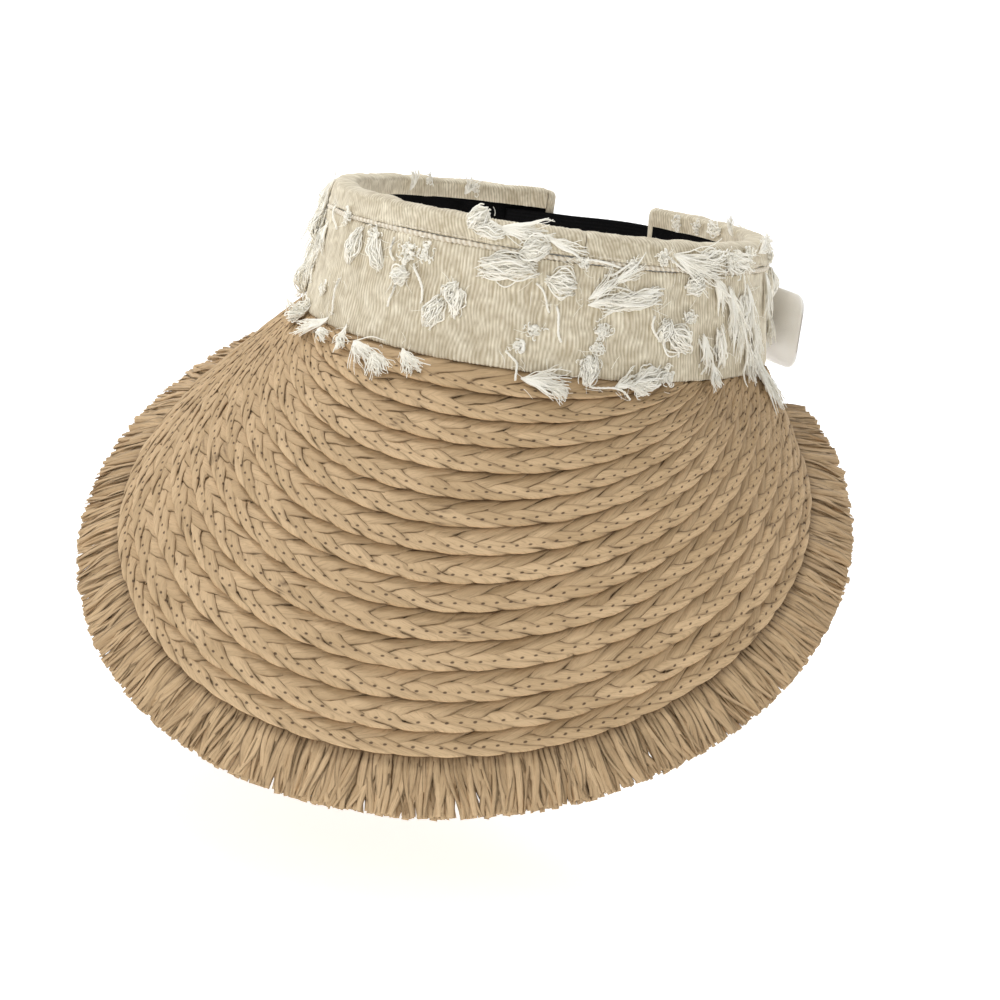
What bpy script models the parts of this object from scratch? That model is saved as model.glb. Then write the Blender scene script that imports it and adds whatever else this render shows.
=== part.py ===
"""Braided straw sun visor with a fabric-covered head band and an adjustable back strap.

The band's lower edge lies in the plane z = 0, the forehead faces -Y and the crown is +Z.
Fourteen crescent rows of straw braid are sewn like shingles from the band outwards, a cut
fringe hangs from the last row, and a strap with a grip tab closes the gap at the back.
"""
import bmesh
import bpy
import numpy as np

MM = 0.001

# Head band: an oval cone, open at the back.
BAND_HALF_WIDTH = 85.0 * MM
BAND_HALF_DEPTH = 96.0 * MM
BAND_FRONT_HEIGHT = 46.0 * MM
BAND_REAR_HEIGHT = 39.0 * MM
BAND_TAPER = 0.131
LEFT_ARM_END_DEG = 164.0
RIGHT_ARM_END_DEG = 161.0
BAND_SEGMENTS = 65
HEM_SEAM_DEG = 23.0

# Layers of the band, each as (outer depth, inner depth) below the cover's face.
COVER_LAYER = (0.0 * MM, 1.2 * MM)
STIFFENER_LAYER = (1.5 * MM, 2.9 * MM)
SWEATBAND_LAYER = (3.2 * MM, 6.2 * MM)
HEM_INNER_LAYER = (6.5 * MM, 7.5 * MM)
TAPE_LAYER = (4.2 * MM, 5.0 * MM)
HEM_HEIGHT = 8.1 * MM
HEM_INNER_HEIGHT = 7.0 * MM
HEM_TOP_THICKNESS = 1.2 * MM
WELT_DROP = 9.25 * MM
WELT_RADIUS = 0.85 * MM
COVER_TOP_DROP = 10.4 * MM
COVER_BOTTOM = 0.0 * MM
LINING_BOTTOM = 4.8 * MM
GAP = 0.3 * MM

# Brim: rows of braid between the band and a forward-tilted oval edge.
ROWS = 14
BRIM_BAND_DEG = 100.0
BRIM_EDGE_DEG = 133.0
BRIM_ROOT_DEPTH = 2.4 * MM
BRIM_ROOT_Z = -2.3 * MM
EDGE_TILT_DEG = 35.4
EDGE_HALF_WIDTH = 117.3 * MM
EDGE_HALF_DEPTH = 132.3 * MM
EDGE_CENTRE_FORWARD = 91.7 * MM
EDGE_RISE = 20.8 * MM
EDGE_SIDE_DROOP = 23.5 * MM
BRIM_BULGE = 2.0 * MM
ROW_NARROWING = 0.5
ROW_OVERLAP = 0.22
ROW_THICKNESS = 1.0 * MM
ROW_STEP = 1.4 * MM
ROW_END_MARGIN = 1.1 * MM
ROW_END_WIDTH = 0.28
FRINGE_OUT = 17.0 * MM
FRINGE_DROP = 10.0 * MM
FRINGE_TUCK = 4.0 * MM
FRINGE_THICKNESS = 1.0 * MM

# Back strap and its fastening.
STRAP_BOTTOM = 5.5 * MM
STRAP_TOP = 30.5 * MM
STRAP_THICKNESS = 1.2 * MM
STRAP_PIVOT_DEG = 191.5
STRAP_END_DEG = 121.0
STRAP_INNER_DEPTH = 7.1 * MM
STRAP_OUTER_DEPTH = -3.9 * MM
STRAP_ROOT_DEG = 208.0
LOOP_PATCH_DEG = (130.0, 159.0)
LOOP_PATCH_LAYER = (-1.5 * MM, -0.3 * MM)
HOOK_PATCH_DEG = (125.0, 149.0)
HOOK_PATCH_LAYER = (-3.0 * MM, -1.8 * MM)
TAB_LENGTH = 29.0 * MM
TAB_HEIGHT = 28.0 * MM
TAB_THICKNESS = 1.4 * MM
TAB_CORNER = 6.0 * MM
TAB_BOTTOM = -6.0 * MM
TAB_STAND_OFF_DEG = 14.0


def clear_scene():
    """Start from an empty scene."""
    for thing in list(bpy.data.objects):
        bpy.data.objects.remove(thing, do_unlink=True)


def material(name, colour, roughness, metallic=0.0):
    """A plain surface with one colour."""
    mat = bpy.data.materials.new(name)
    mat.use_nodes = True
    shader = mat.node_tree.nodes["Principled BSDF"]
    shader.inputs["Base Color"].default_value = (*colour, 1.0)
    shader.inputs["Roughness"].default_value = roughness
    shader.inputs["Metallic"].default_value = metallic
    return mat


def solid(name, verts, faces, mat):
    """One closed body from its corner points and faces, with all faces turned outward."""
    mesh = bpy.data.meshes.new(name)
    mesh.from_pydata([tuple(v) for v in verts], [], faces)
    work = bmesh.new()
    work.from_mesh(mesh)
    bmesh.ops.recalc_face_normals(work, faces=work.faces)
    work.to_mesh(mesh)
    work.free()
    mesh.materials.append(mat)
    thing = bpy.data.objects.new(name, mesh)
    bpy.context.collection.objects.link(thing)
    mesh.shade_smooth()
    mesh.set_sharp_from_angle(angle=np.radians(40.0))
    return thing


def swept(name, sections, mat):
    """A body that runs through a row of closed cross-sections, capped at both ends."""
    count, points = sections.shape[:2]
    verts = sections.reshape(-1, 3)
    faces = []
    for i in range(count - 1):
        for j in range(points):
            k = (j + 1) % points
            faces.append((i * points + j, i * points + k, (i + 1) * points + k, (i + 1) * points + j))
    faces.append(tuple(range(points)))
    faces.append(tuple((count - 1) * points + j for j in range(points)))
    return solid(name, verts, faces, mat)


# ---------------------------------------------------------------- head band

def band_height(angle):
    """Height of the band's top edge, a little lower at the back than at the forehead."""
    rear = (1.0 - np.cos(angle)) / 2.0
    return BAND_FRONT_HEIGHT + (BAND_REAR_HEIGHT - BAND_FRONT_HEIGHT) * rear


def band_point(angle, depth, z):
    """The point at an angle from the forehead, at a depth below the cover and a height."""
    x = BAND_HALF_WIDTH * np.sin(angle)
    y = -BAND_HALF_DEPTH * np.cos(angle)
    nx = BAND_HALF_DEPTH * np.sin(angle)
    ny = -BAND_HALF_WIDTH * np.cos(angle)
    size = np.hypot(nx, ny)
    inward = depth + BAND_TAPER * z
    return np.stack([x - inward * nx / size, y - inward * ny / size, z + 0.0 * x], axis=-1)


def rounded_box(outer, inner, bottom, top, corner):
    """Depth and height pairs around a strip's section, with its corners cut."""
    return [
        (outer, bottom + corner), (outer, top - corner), (outer + corner, top),
        (inner - corner, top), (inner, top - corner), (inner, bottom + corner),
        (inner - corner, bottom), (outer + corner, bottom),
    ]


def band_angles(start=-LEFT_ARM_END_DEG, end=RIGHT_ARM_END_DEG, segments=BAND_SEGMENTS):
    """Evenly spaced angles around the band in radians."""
    return np.radians(np.linspace(start, end, segments + 1))


def band_strip(name, layer, bottom, top_drop, angles, mat, corner=0.35 * MM):
    """A layer of the band from a fixed height up to a set distance below the top edge."""
    sections = []
    for angle in angles:
        top = band_height(angle) - top_drop
        pairs = rounded_box(layer[0], layer[1], bottom, top, corner)
        sections.append([band_point(angle, depth, z) for depth, z in pairs])
    return swept(name, np.array(sections), mat)


def make_cover(mat):
    """The crinkled fabric face below the welt."""
    return band_strip("face_cover", COVER_LAYER, COVER_BOTTOM, COVER_TOP_DROP, band_angles(), mat)


def make_stiffener(mat):
    """The springy strip that keeps the band in its open oval."""
    return band_strip(
        "band_stiffener", STIFFENER_LAYER, LINING_BOTTOM, HEM_TOP_THICKNESS + GAP, band_angles(), mat)


def make_sweatband(mat):
    """The padded lining against the forehead."""
    return band_strip(
        "sweatband", SWEATBAND_LAYER, LINING_BOTTOM, HEM_TOP_THICKNESS + GAP, band_angles(), mat)


def make_hem(name, start, end, segments, mat):
    """The folded top hem: a tall outer leg, a rounded top and a short inner leg."""
    sections = []
    for angle in band_angles(start, end, segments):
        top = band_height(angle)
        outer, under = COVER_LAYER
        face, inner = HEM_INNER_LAYER
        web = top - HEM_TOP_THICKNESS
        soft = 0.8 * MM
        pairs = [
            (outer, top - HEM_HEIGHT), (outer, top - soft), (outer + soft, top), (inner - soft, top),
            (inner, top - soft), (inner, top - HEM_INNER_HEIGHT), (face, top - HEM_INNER_HEIGHT),
            (face, web), (under, web), (under, top - HEM_HEIGHT),
        ]
        sections.append([band_point(angle, depth, z) for depth, z in pairs])
    return swept(name, np.array(sections), mat)


def make_welt(mat):
    """The corded seam between the hem and the face."""
    turn = np.radians(np.arange(0, 360, 60))
    sections = []
    for angle in band_angles():
        middle = band_height(angle) - WELT_DROP
        depth = 0.35 * MM + WELT_RADIUS * np.cos(turn)
        z = middle + WELT_RADIUS * np.sin(turn)
        sections.append([band_point(angle, d, h) for d, h in zip(depth, z)])
    return swept("welt_cord", np.array(sections), mat)


def make_end_fold(name, end, mat):
    """The cover folded round the end of one rear arm; end is the arm's angle in degrees."""
    sections = []
    for along, inset in ((0.25, 0.0), (1.6, 0.0), (2.3, 0.5), (2.7, 1.3)):
        angle = np.radians(end + np.sign(end) * along)
        inset = inset * MM
        pairs = rounded_box(
            inset, SWEATBAND_LAYER[1] - inset, COVER_BOTTOM + inset, band_height(angle) - inset, 0.9 * MM)
        sections.append([band_point(angle, depth, z) for depth, z in pairs])
    return swept(name, np.array(sections), mat)


# --------------------------------------------------------------------- brim

def brim_root(place):
    """Where the brim meets the band; place runs from -1 to 1 around the forehead."""
    return band_point(np.radians(BRIM_BAND_DEG) * place, BRIM_ROOT_DEPTH, BRIM_ROOT_Z)


def brim_edge(place, out=0.0, drop=0.0):
    """The outer edge of the last row: an oval in a plane tipped forward, drooping at the sides.

    The same oval, made larger by out and lowered by drop, is the line of the fringe's tips."""
    turn = np.radians(BRIM_EDGE_DEG) * place
    across = (EDGE_HALF_WIDTH + out) * np.sin(turn)
    along = -EDGE_CENTRE_FORWARD - (EDGE_HALF_DEPTH + out) * np.cos(turn)
    lift = EDGE_RISE - drop - EDGE_SIDE_DROOP * (1.0 - np.cos(turn))
    tilt = np.radians(EDGE_TILT_DEG)
    y = np.cos(tilt) * along - np.sin(tilt) * lift
    z = np.sin(tilt) * along + np.cos(tilt) * lift
    return np.stack([across, y, z], axis=-1)


def brim_depth(place):
    """Distance from the band to the brim's edge."""
    return np.linalg.norm(brim_edge(place) - brim_root(place), axis=-1)


def row_distance(place, row):
    """How far inside the brim's edge a row line lies; inner rows narrow towards the sides."""
    share = (ROWS - row) / ROWS
    narrowing = ROW_NARROWING * (1.0 - np.cos(np.pi * place)) / 2.0
    front = brim_depth(np.zeros_like(place))
    return share * front * (1.0 - narrowing * np.maximum(share, 0.0) ** 1.5)


def brim_flat(place, row):
    """A point of the brim's middle surface on a row line, which may lie beyond the edge."""
    root = brim_root(place)
    edge = brim_edge(place)
    span = edge - root
    size = np.linalg.norm(span, axis=-1)
    part = 1.0 - row_distance(place, row) / size
    sideways = brim_edge(place + 0.01) - brim_edge(place - 0.01)
    normal = np.cross(span, sideways)
    normal = normal / np.linalg.norm(normal, axis=-1, keepdims=True)
    front = brim_depth(np.zeros_like(place))
    bulge = BRIM_BULGE * 4.0 * part * (1.0 - part) * size / front
    return root + span * part[:, None] + normal * bulge[:, None], normal


def brim_point(place, row, lift):
    """A point above or below the brim's middle surface."""
    base, normal = brim_flat(place, row)
    return base + normal * lift[:, None]


def band_row(place):
    """The row number at which the brim reaches the band, so rows beyond it are cut off."""
    rows = np.linspace(0.0, ROWS, 561)
    room = brim_depth(place) - ROW_END_MARGIN
    reach = np.array([row_distance(place, row) for row in rows])
    inside = reach <= room[None, :]
    return rows[np.argmax(inside, axis=0)]


def row_span(row):
    """How far round the forehead one row reaches before it runs under the band."""
    place = np.linspace(0.0, 1.0, 801)
    open_width = row + 1.0 + ROW_OVERLAP - np.maximum(band_row(place), row)
    return place[np.nonzero(open_width > ROW_END_WIDTH)[0][-1]]


def make_row(name, row, segments, mat):
    """One braid row, its inner edge under the row above it and its outer edge lying on the next."""
    reach = row_span(row)
    place = np.linspace(-reach, reach, segments + 1)
    near = np.maximum(band_row(place), row)
    overlap = ROW_OVERLAP if row < ROWS - 1 else 0.0
    far = np.full_like(near, row + 1.0 + overlap)
    half = ROW_THICKNESS / 2.0
    soft = 0.07
    ring = []
    for rows, up in (
            (near + soft, -1.0), (far - soft, -1.0), (far, 0.0), (far - soft, 1.0), (near + soft, 1.0),
            (near, 0.0)):
        lift = ROW_STEP * (rows - row) + up * half
        ring.append(brim_point(place, rows, lift))
    return swept(name, np.stack(ring, axis=1), mat)


def make_fringe(mat):
    """The band of cut straw ends that hangs out from under the last row and droops a little."""
    place = np.linspace(-0.985, 0.985, 49)
    edge = brim_edge(place)
    root = brim_root(place)
    out = (edge - root) / np.linalg.norm(edge - root, axis=-1, keepdims=True)
    normal = brim_flat(place, np.full_like(place, float(ROWS)))[1]
    tuck = np.minimum(FRINGE_TUCK, 0.4 * brim_depth(place))
    half = FRINGE_THICKNESS / 2.0
    under = ROW_STEP - ROW_THICKNESS / 2.0 - GAP - half
    tucked = edge - out * tuck[:, None] + normal * (under - 0.9 * MM)
    rim = edge + normal * under
    tip = brim_edge(place, FRINGE_OUT, FRINGE_DROP)
    ring = [line - normal * half for line in (tucked, rim, tip)]
    ring += [line + normal * half for line in (tip, rim, tucked)]
    return swept("fringe", np.stack(ring, axis=1), mat)


def make_seam_tape(mat):
    """The tape inside the band that covers the brim's raw edge."""
    sections = []
    for angle in band_angles(-96.0, 96.0, 39):
        pairs = rounded_box(TAPE_LAYER[0], TAPE_LAYER[1], -4.0 * MM, LINING_BOTTOM - GAP, 0.2 * MM)
        sections.append([band_point(angle, depth, z) for depth, z in pairs])
    return swept("brim_seam_tape", np.array(sections), mat)


# -------------------------------------------------------------- back strap

def strap_depth(angle_deg):
    """The strap leaves the left arm's inner side and crosses over the right arm's outside."""
    share = np.clip((STRAP_PIVOT_DEG - 0.5 - angle_deg) / (STRAP_PIVOT_DEG - 0.5 - 169.0), 0.0, 1.0)
    ease = share * share * (3.0 - 2.0 * share)
    return STRAP_INNER_DEPTH + (STRAP_OUTER_DEPTH - STRAP_INNER_DEPTH) * ease


def strap_piece(name, degrees, middle, bottom, top, thickness, mat):
    """A flat webbing piece that follows the band at the given depths."""
    half = thickness / 2.0
    sections = []
    for degree, depth in zip(degrees, middle):
        pairs = rounded_box(depth - half, depth + half, bottom, top, 0.3 * MM)
        sections.append([band_point(np.radians(degree), d, z) for d, z in pairs])
    return swept(name, np.array(sections), mat)


def make_strap(mat):
    """The elastic strap across the gap at the back."""
    degrees = np.linspace(STRAP_PIVOT_DEG - 0.35, STRAP_END_DEG, 36)
    return strap_piece(
        "elastic_strap", degrees, strap_depth(degrees), STRAP_BOTTOM, STRAP_TOP, STRAP_THICKNESS, mat)


def make_strap_root(mat):
    """The end of the strap that is sewn to the left arm's lining."""
    degrees = np.linspace(STRAP_ROOT_DEG, STRAP_PIVOT_DEG + 0.35, 8)
    middle = np.full_like(degrees, STRAP_INNER_DEPTH)
    return strap_piece("strap_root", degrees, middle, STRAP_BOTTOM, STRAP_TOP, STRAP_THICKNESS, mat)


def make_patch(name, span, layer, mat):
    """One half of the touch fastening."""
    degrees = np.linspace(span[0], span[1], 11)
    middle = np.full_like(degrees, (layer[0] + layer[1]) / 2.0)
    bottom = STRAP_BOTTOM + 1.5 * MM
    top = STRAP_TOP - 1.5 * MM
    return strap_piece(name, degrees, middle, bottom, top, layer[1] - layer[0], mat)


def tab_hinge():
    """The point where the tab is folded onto the end of the strap."""
    middle = (STRAP_BOTTOM + STRAP_TOP) / 2.0
    point = band_point(np.radians(STRAP_END_DEG - 1.2), STRAP_OUTER_DEPTH, middle)
    return np.array([point[0], point[1], 0.0])


def make_tab(mat):
    """The flat grip tab with rounded corners, standing a little off the band."""
    hinge = tab_hinge()
    angle = np.radians(STRAP_END_DEG - 1.2)
    ahead = -np.array([BAND_HALF_WIDTH * np.cos(angle), BAND_HALF_DEPTH * np.sin(angle), 0.0])
    ahead = ahead / np.linalg.norm(ahead)
    turn = np.radians(TAB_STAND_OFF_DEG)
    outward = np.array([-ahead[1], ahead[0], 0.0])
    along = np.cos(turn) * ahead + np.sin(turn) * outward
    across = np.array([-along[1], along[0], 0.0])
    outline = [(0.6 * MM, 0.0), (TAB_LENGTH - TAB_CORNER, 0.0)]
    for step in np.radians([-60, -30, 0]):
        outline.append((
            TAB_LENGTH - TAB_CORNER + TAB_CORNER * np.cos(step), TAB_CORNER + TAB_CORNER * np.sin(step)))
    for step in np.radians([0, 30, 60, 90]):
        outline.append((
            TAB_LENGTH - TAB_CORNER + TAB_CORNER * np.cos(step),
            TAB_HEIGHT - TAB_CORNER + TAB_CORNER * np.sin(step)))
    outline.append((0.6 * MM, TAB_HEIGHT))
    half = TAB_THICKNESS / 2.0
    sections = []
    for offset in (-half, half):
        ring = []
        for length, height in outline:
            point = hinge + along * length + across * offset
            ring.append([point[0], point[1], TAB_BOTTOM + height])
        sections.append(ring)
    return swept("grip_tab", np.array(sections), mat)


def build():
    """Make every piece of the visor."""
    clear_scene()
    straw = material("straw", (0.50, 0.33, 0.18), 0.62)
    straw_cut = material("straw_fringe", (0.47, 0.31, 0.17), 0.66)
    cream = material("cream_crinkle_fabric", (0.78, 0.72, 0.58), 0.85)
    cream_cord = material("cream_cord", (0.82, 0.76, 0.63), 0.8)
    black_knit = material("black_knit", (0.02, 0.02, 0.022), 0.8)
    black_webbing = material("black_webbing", (0.015, 0.015, 0.016), 0.7)
    touch_fastener = material("touch_fastener", (0.03, 0.03, 0.032), 0.9)
    grey_felt = material("grey_felt", (0.62, 0.6, 0.55), 0.9)
    white_board = material("white_stiffener", (0.8, 0.8, 0.78), 0.5)
    tape = material("beige_tape", (0.6, 0.5, 0.37), 0.8)

    for row in range(ROWS):
        segments = 26 + int(round(20 * row / (ROWS - 1)))
        make_row("braid_row_%02d" % (row + 1), row, segments, straw)
    make_fringe(straw_cut)
    make_seam_tape(tape)

    make_cover(cream)
    make_stiffener(white_board)
    make_sweatband(black_knit)
    make_welt(cream_cord)
    make_hem("top_hem_left", -LEFT_ARM_END_DEG, HEM_SEAM_DEG - 0.1, 37, cream)
    make_hem("top_hem_right", HEM_SEAM_DEG + 0.1, RIGHT_ARM_END_DEG, 28, cream)
    make_end_fold("end_fold_left", -LEFT_ARM_END_DEG, cream)
    make_end_fold("end_fold_right", RIGHT_ARM_END_DEG, cream)

    make_strap_root(black_webbing)
    make_strap(black_webbing)
    make_patch("loop_patch", LOOP_PATCH_DEG, LOOP_PATCH_LAYER, touch_fastener)
    make_patch("hook_patch", HOOK_PATCH_DEG, HOOK_PATCH_LAYER, touch_fastener)
    make_tab(grey_felt)


build()
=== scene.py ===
"""The looks of a braided straw sun visor: plaited rows, cut fringe, crinkled band and strap."""
import bpy
import numpy as np
from mathutils import Matrix, Vector


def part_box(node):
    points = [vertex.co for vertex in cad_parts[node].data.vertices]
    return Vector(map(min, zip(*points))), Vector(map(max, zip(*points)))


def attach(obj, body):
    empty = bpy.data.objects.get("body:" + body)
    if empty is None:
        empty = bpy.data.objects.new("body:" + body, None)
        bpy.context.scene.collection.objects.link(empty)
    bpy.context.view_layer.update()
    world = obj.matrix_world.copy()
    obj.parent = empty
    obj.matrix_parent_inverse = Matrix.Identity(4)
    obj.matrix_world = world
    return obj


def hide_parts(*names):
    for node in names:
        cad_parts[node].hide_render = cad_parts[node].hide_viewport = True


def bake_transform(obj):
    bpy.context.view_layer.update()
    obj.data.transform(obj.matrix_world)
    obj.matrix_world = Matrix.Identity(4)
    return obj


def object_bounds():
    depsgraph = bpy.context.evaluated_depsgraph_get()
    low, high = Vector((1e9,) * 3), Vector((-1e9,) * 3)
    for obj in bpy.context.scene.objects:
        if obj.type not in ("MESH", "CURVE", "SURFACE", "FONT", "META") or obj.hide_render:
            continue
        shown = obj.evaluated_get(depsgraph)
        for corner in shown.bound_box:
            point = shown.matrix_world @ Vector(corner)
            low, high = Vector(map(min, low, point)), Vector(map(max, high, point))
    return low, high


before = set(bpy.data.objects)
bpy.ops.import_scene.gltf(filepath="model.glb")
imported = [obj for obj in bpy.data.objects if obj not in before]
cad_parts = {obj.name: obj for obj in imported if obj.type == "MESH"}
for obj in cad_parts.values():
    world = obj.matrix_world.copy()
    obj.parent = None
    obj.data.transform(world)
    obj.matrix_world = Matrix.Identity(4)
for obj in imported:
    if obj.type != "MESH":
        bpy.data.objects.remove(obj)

cad_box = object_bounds()
MM = 0.001

# ------------------------------------------------------------------ shape shared by the pieces

cover_low, cover_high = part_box("face_cover")
BAND_HALF_WIDTH = (cover_high[0] - cover_low[0]) / 2.0
BAND_HALF_DEPTH = -cover_low[1]
BAND_FRONT_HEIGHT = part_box("top_hem_left")[1][2]
BAND_REAR_HEIGHT = 39.0 * MM
BAND_TAPER = 0.131
ARM_LEFT_DEG = -164.0
ARM_RIGHT_DEG = 161.0
HEM_SEAM_DEG = 23.0
ROWS = 14
BRIM_BAND_DEG = 100.0
BRIM_EDGE_DEG = 133.0
BRIM_ROOT_DEPTH = 2.4 * MM
BRIM_ROOT_Z = -2.3 * MM
EDGE_TILT = np.radians(35.4)
EDGE_HALF_WIDTH = 117.3 * MM
EDGE_HALF_DEPTH = 132.3 * MM
EDGE_CENTRE_FORWARD = 91.7 * MM
EDGE_RISE = 20.8 * MM
EDGE_SIDE_DROOP = 23.5 * MM
BRIM_BULGE = 2.0 * MM
ROW_NARROWING = 0.5
ROW_OVERLAP = 0.22
ROW_END_WIDTH = 0.28
FRINGE_OUT = 17.0 * MM
FRINGE_DROP = 10.0 * MM
FRINGE_LAYERS = 3
FRINGE_LAYER_STEP = 0.5 * MM
FRINGE_LEVEL = 0.3 * MM
STRIPS_IN_LAYER = 430


def band_height(angle):
    """Height of the band's top edge, a little lower at the back."""
    return BAND_FRONT_HEIGHT + (BAND_REAR_HEIGHT - BAND_FRONT_HEIGHT) * (1.0 - np.cos(angle)) / 2.0


def band_point(angle, depth, z):
    """Points on the band: an oval cone, moved inwards by depth and by the taper times z."""
    angle, depth, z = np.broadcast_arrays(angle, depth, z)
    x = BAND_HALF_WIDTH * np.sin(angle)
    y = -BAND_HALF_DEPTH * np.cos(angle)
    nx = BAND_HALF_DEPTH * np.sin(angle)
    ny = -BAND_HALF_WIDTH * np.cos(angle)
    size = np.hypot(nx, ny)
    inward = depth + BAND_TAPER * z
    return np.stack([x - inward * nx / size, y - inward * ny / size, z], axis=-1)


def brim_root(place):
    """Where the brim meets the band; place runs from -1 to 1 around the forehead."""
    return band_point(np.radians(BRIM_BAND_DEG) * place, BRIM_ROOT_DEPTH, BRIM_ROOT_Z)


def brim_edge(place, out=0.0, drop=0.0):
    """The brim's outer oval in a plane tipped forward; out enlarges it and drop lowers it."""
    turn = np.radians(BRIM_EDGE_DEG) * place
    across = (EDGE_HALF_WIDTH + out) * np.sin(turn)
    along = -EDGE_CENTRE_FORWARD - (EDGE_HALF_DEPTH + out) * np.cos(turn)
    lift = EDGE_RISE - drop - EDGE_SIDE_DROOP * (1.0 - np.cos(turn))
    y = np.cos(EDGE_TILT) * along - np.sin(EDGE_TILT) * lift
    z = np.sin(EDGE_TILT) * along + np.cos(EDGE_TILT) * lift
    return np.stack([across, y, z], axis=-1)


def brim_depth(place):
    """Distance from the band to the brim's edge."""
    return np.linalg.norm(brim_edge(place) - brim_root(place), axis=-1)


BRIM_FRONT_DEPTH = brim_depth(np.zeros(1))[0]


def brim_bulge(part, size):
    """How far the brim swells above the straight line from band to edge: a parabola along part."""
    return BRIM_BULGE * 4.0 * part * (1.0 - part) * size / BRIM_FRONT_DEPTH


def row_distance(place, row):
    """How far inside the brim's edge a row line lies; inner rows narrow towards the sides."""
    share = (ROWS - row) / ROWS
    narrowing = ROW_NARROWING * (1.0 - np.cos(np.pi * place)) / 2.0
    return share * BRIM_FRONT_DEPTH * (1.0 - narrowing * np.maximum(share, 0.0) ** 1.5)


def brim_point(place, row, lift):
    """Points above or below the brim's middle surface, and the surface's outward direction."""
    place, row, lift = np.broadcast_arrays(place, row, lift)
    root = brim_root(place)
    edge = brim_edge(place)
    span = edge - root
    size = np.linalg.norm(span, axis=-1)
    part = 1.0 - row_distance(place, row) / size
    sideways = brim_edge(place + 0.01) - brim_edge(place - 0.01)
    normal = np.cross(span, sideways)
    normal = normal / np.linalg.norm(normal, axis=-1, keepdims=True)
    above = brim_bulge(part, size) + lift
    return root + span * part[..., None] + normal * above[..., None], normal


def band_row(place, margin=0.6 * MM):
    """The row number at which the brim reaches the band, so rows beyond it are cut off."""
    rows = np.linspace(0.0, ROWS, 561)
    at = np.linspace(0.0, 1.0, 201)
    inside = row_distance(at[None, :], rows[:, None]) <= (brim_depth(at) - margin)[None, :]
    return np.interp(np.abs(place), at, rows[np.argmax(inside, axis=0)])


def ripple(x, seed, scale, octaves=4):
    """Smooth irregular waves between about -1 and 1: a sum of sines with random rates and starts."""
    rng = np.random.default_rng(seed)
    total = np.zeros_like(x)
    for _ in range(octaves):
        rate = 2.0 * np.pi / scale * rng.uniform(0.55, 1.6)
        total = total + np.sin(x * rate + rng.uniform(0.0, 2.0 * np.pi))
    return total / octaves ** 0.5 / 1.3


def distance_along(points):
    """The distance of each point of a line from its start, measured along the line."""
    return np.concatenate([[0.0], np.cumsum(np.linalg.norm(np.diff(points, axis=0), axis=-1))])


def unit(v):
    """Vectors of length one."""
    return v / (np.linalg.norm(v, axis=-1, keepdims=True) + 1e-12)


# ------------------------------------------------------------------------------ mesh helpers

def make_mesh(name, verts, faces, mat, uvs=None, values=None):
    """One object at the origin from arrays: verts (n, 3) and faces, a list of (k, corners) arrays."""
    verts = np.asarray(verts, float).reshape(-1, 3)
    first = faces[0]
    a, b, c = (verts[first[:, i]] for i in range(3))
    d = verts[first[:, -1]]
    volume = np.sum(np.cross(a, b) * c) + np.sum(np.cross(a, c) * d)
    if volume < 0:
        faces = [f[:, ::-1] for f in faces]
    loops = np.concatenate([f.ravel() for f in faces]).astype(np.int32)
    sizes = np.concatenate([np.full(len(f), f.shape[1]) for f in faces]).astype(np.int32)
    starts = np.concatenate([[0], np.cumsum(sizes)[:-1]]).astype(np.int32)
    mesh = bpy.data.meshes.new(name)
    mesh.vertices.add(len(verts))
    mesh.vertices.foreach_set("co", verts.astype(np.float32).ravel())
    mesh.loops.add(len(loops))
    mesh.loops.foreach_set("vertex_index", loops)
    mesh.polygons.add(len(sizes))
    mesh.polygons.foreach_set("loop_start", starts)
    mesh.polygons.foreach_set("loop_total", sizes)
    mesh.update(calc_edges=True)
    mesh.shade_smooth()
    for uv_name, uv in (uvs or {}).items():
        layer = mesh.uv_layers.new(name=uv_name)
        layer.data.foreach_set("uv", np.asarray(uv, np.float32).reshape(-1, 2)[loops].ravel())
    for value_name, value in (values or {}).items():
        layer = mesh.attributes.new(value_name, "FLOAT", "POINT")
        layer.data.foreach_set("value", np.asarray(value, np.float32).ravel())
    mesh.materials.append(mat)
    thing = bpy.data.objects.new(name, mesh)
    bpy.context.scene.collection.objects.link(thing)
    return thing


def tube_faces(tubes, sections, points):
    """Faces for many closed tubes whose points are stored as [tube, section, point around]."""
    tube = np.arange(tubes)[:, None, None] * sections * points
    along = np.arange(sections - 1)[None, :, None] * points
    around = np.arange(points)[None, None, :]
    after = (around + 1) % points
    quads = np.stack(np.broadcast_arrays(
        tube + along + around, tube + along + after,
        tube + along + points + after, tube + along + points + around), axis=-1).reshape(-1, 4)
    start = np.arange(tubes)[:, None] * sections * points
    first = start + np.arange(points)[None, ::-1]
    last = start + (sections - 1) * points + np.arange(points)[None, :]
    return [quads, np.concatenate([first, last])]


def finish_piece(thing, body, slot, *nodes):
    """The piece rides on its body and stands for its CAD nodes, which are hidden; slot is not used."""
    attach(thing, body)
    if nodes:
        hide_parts(*nodes)
    return thing


# --------------------------------------------------------------------------------- materials

def new_material(name, roughness, sheen=0.0, specular=0.3):
    """A surface whose colour and bump are wired by the caller."""
    mat = bpy.data.materials.new(name)
    mat.use_nodes = True
    shader = mat.node_tree.nodes["Principled BSDF"]
    shader.inputs["Roughness"].default_value = roughness
    shader.inputs["Specular IOR Level"].default_value = specular
    if sheen:
        shader.inputs["Sheen Weight"].default_value = sheen
        shader.inputs["Sheen Roughness"].default_value = 0.5
    return mat, mat.node_tree, shader


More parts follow.
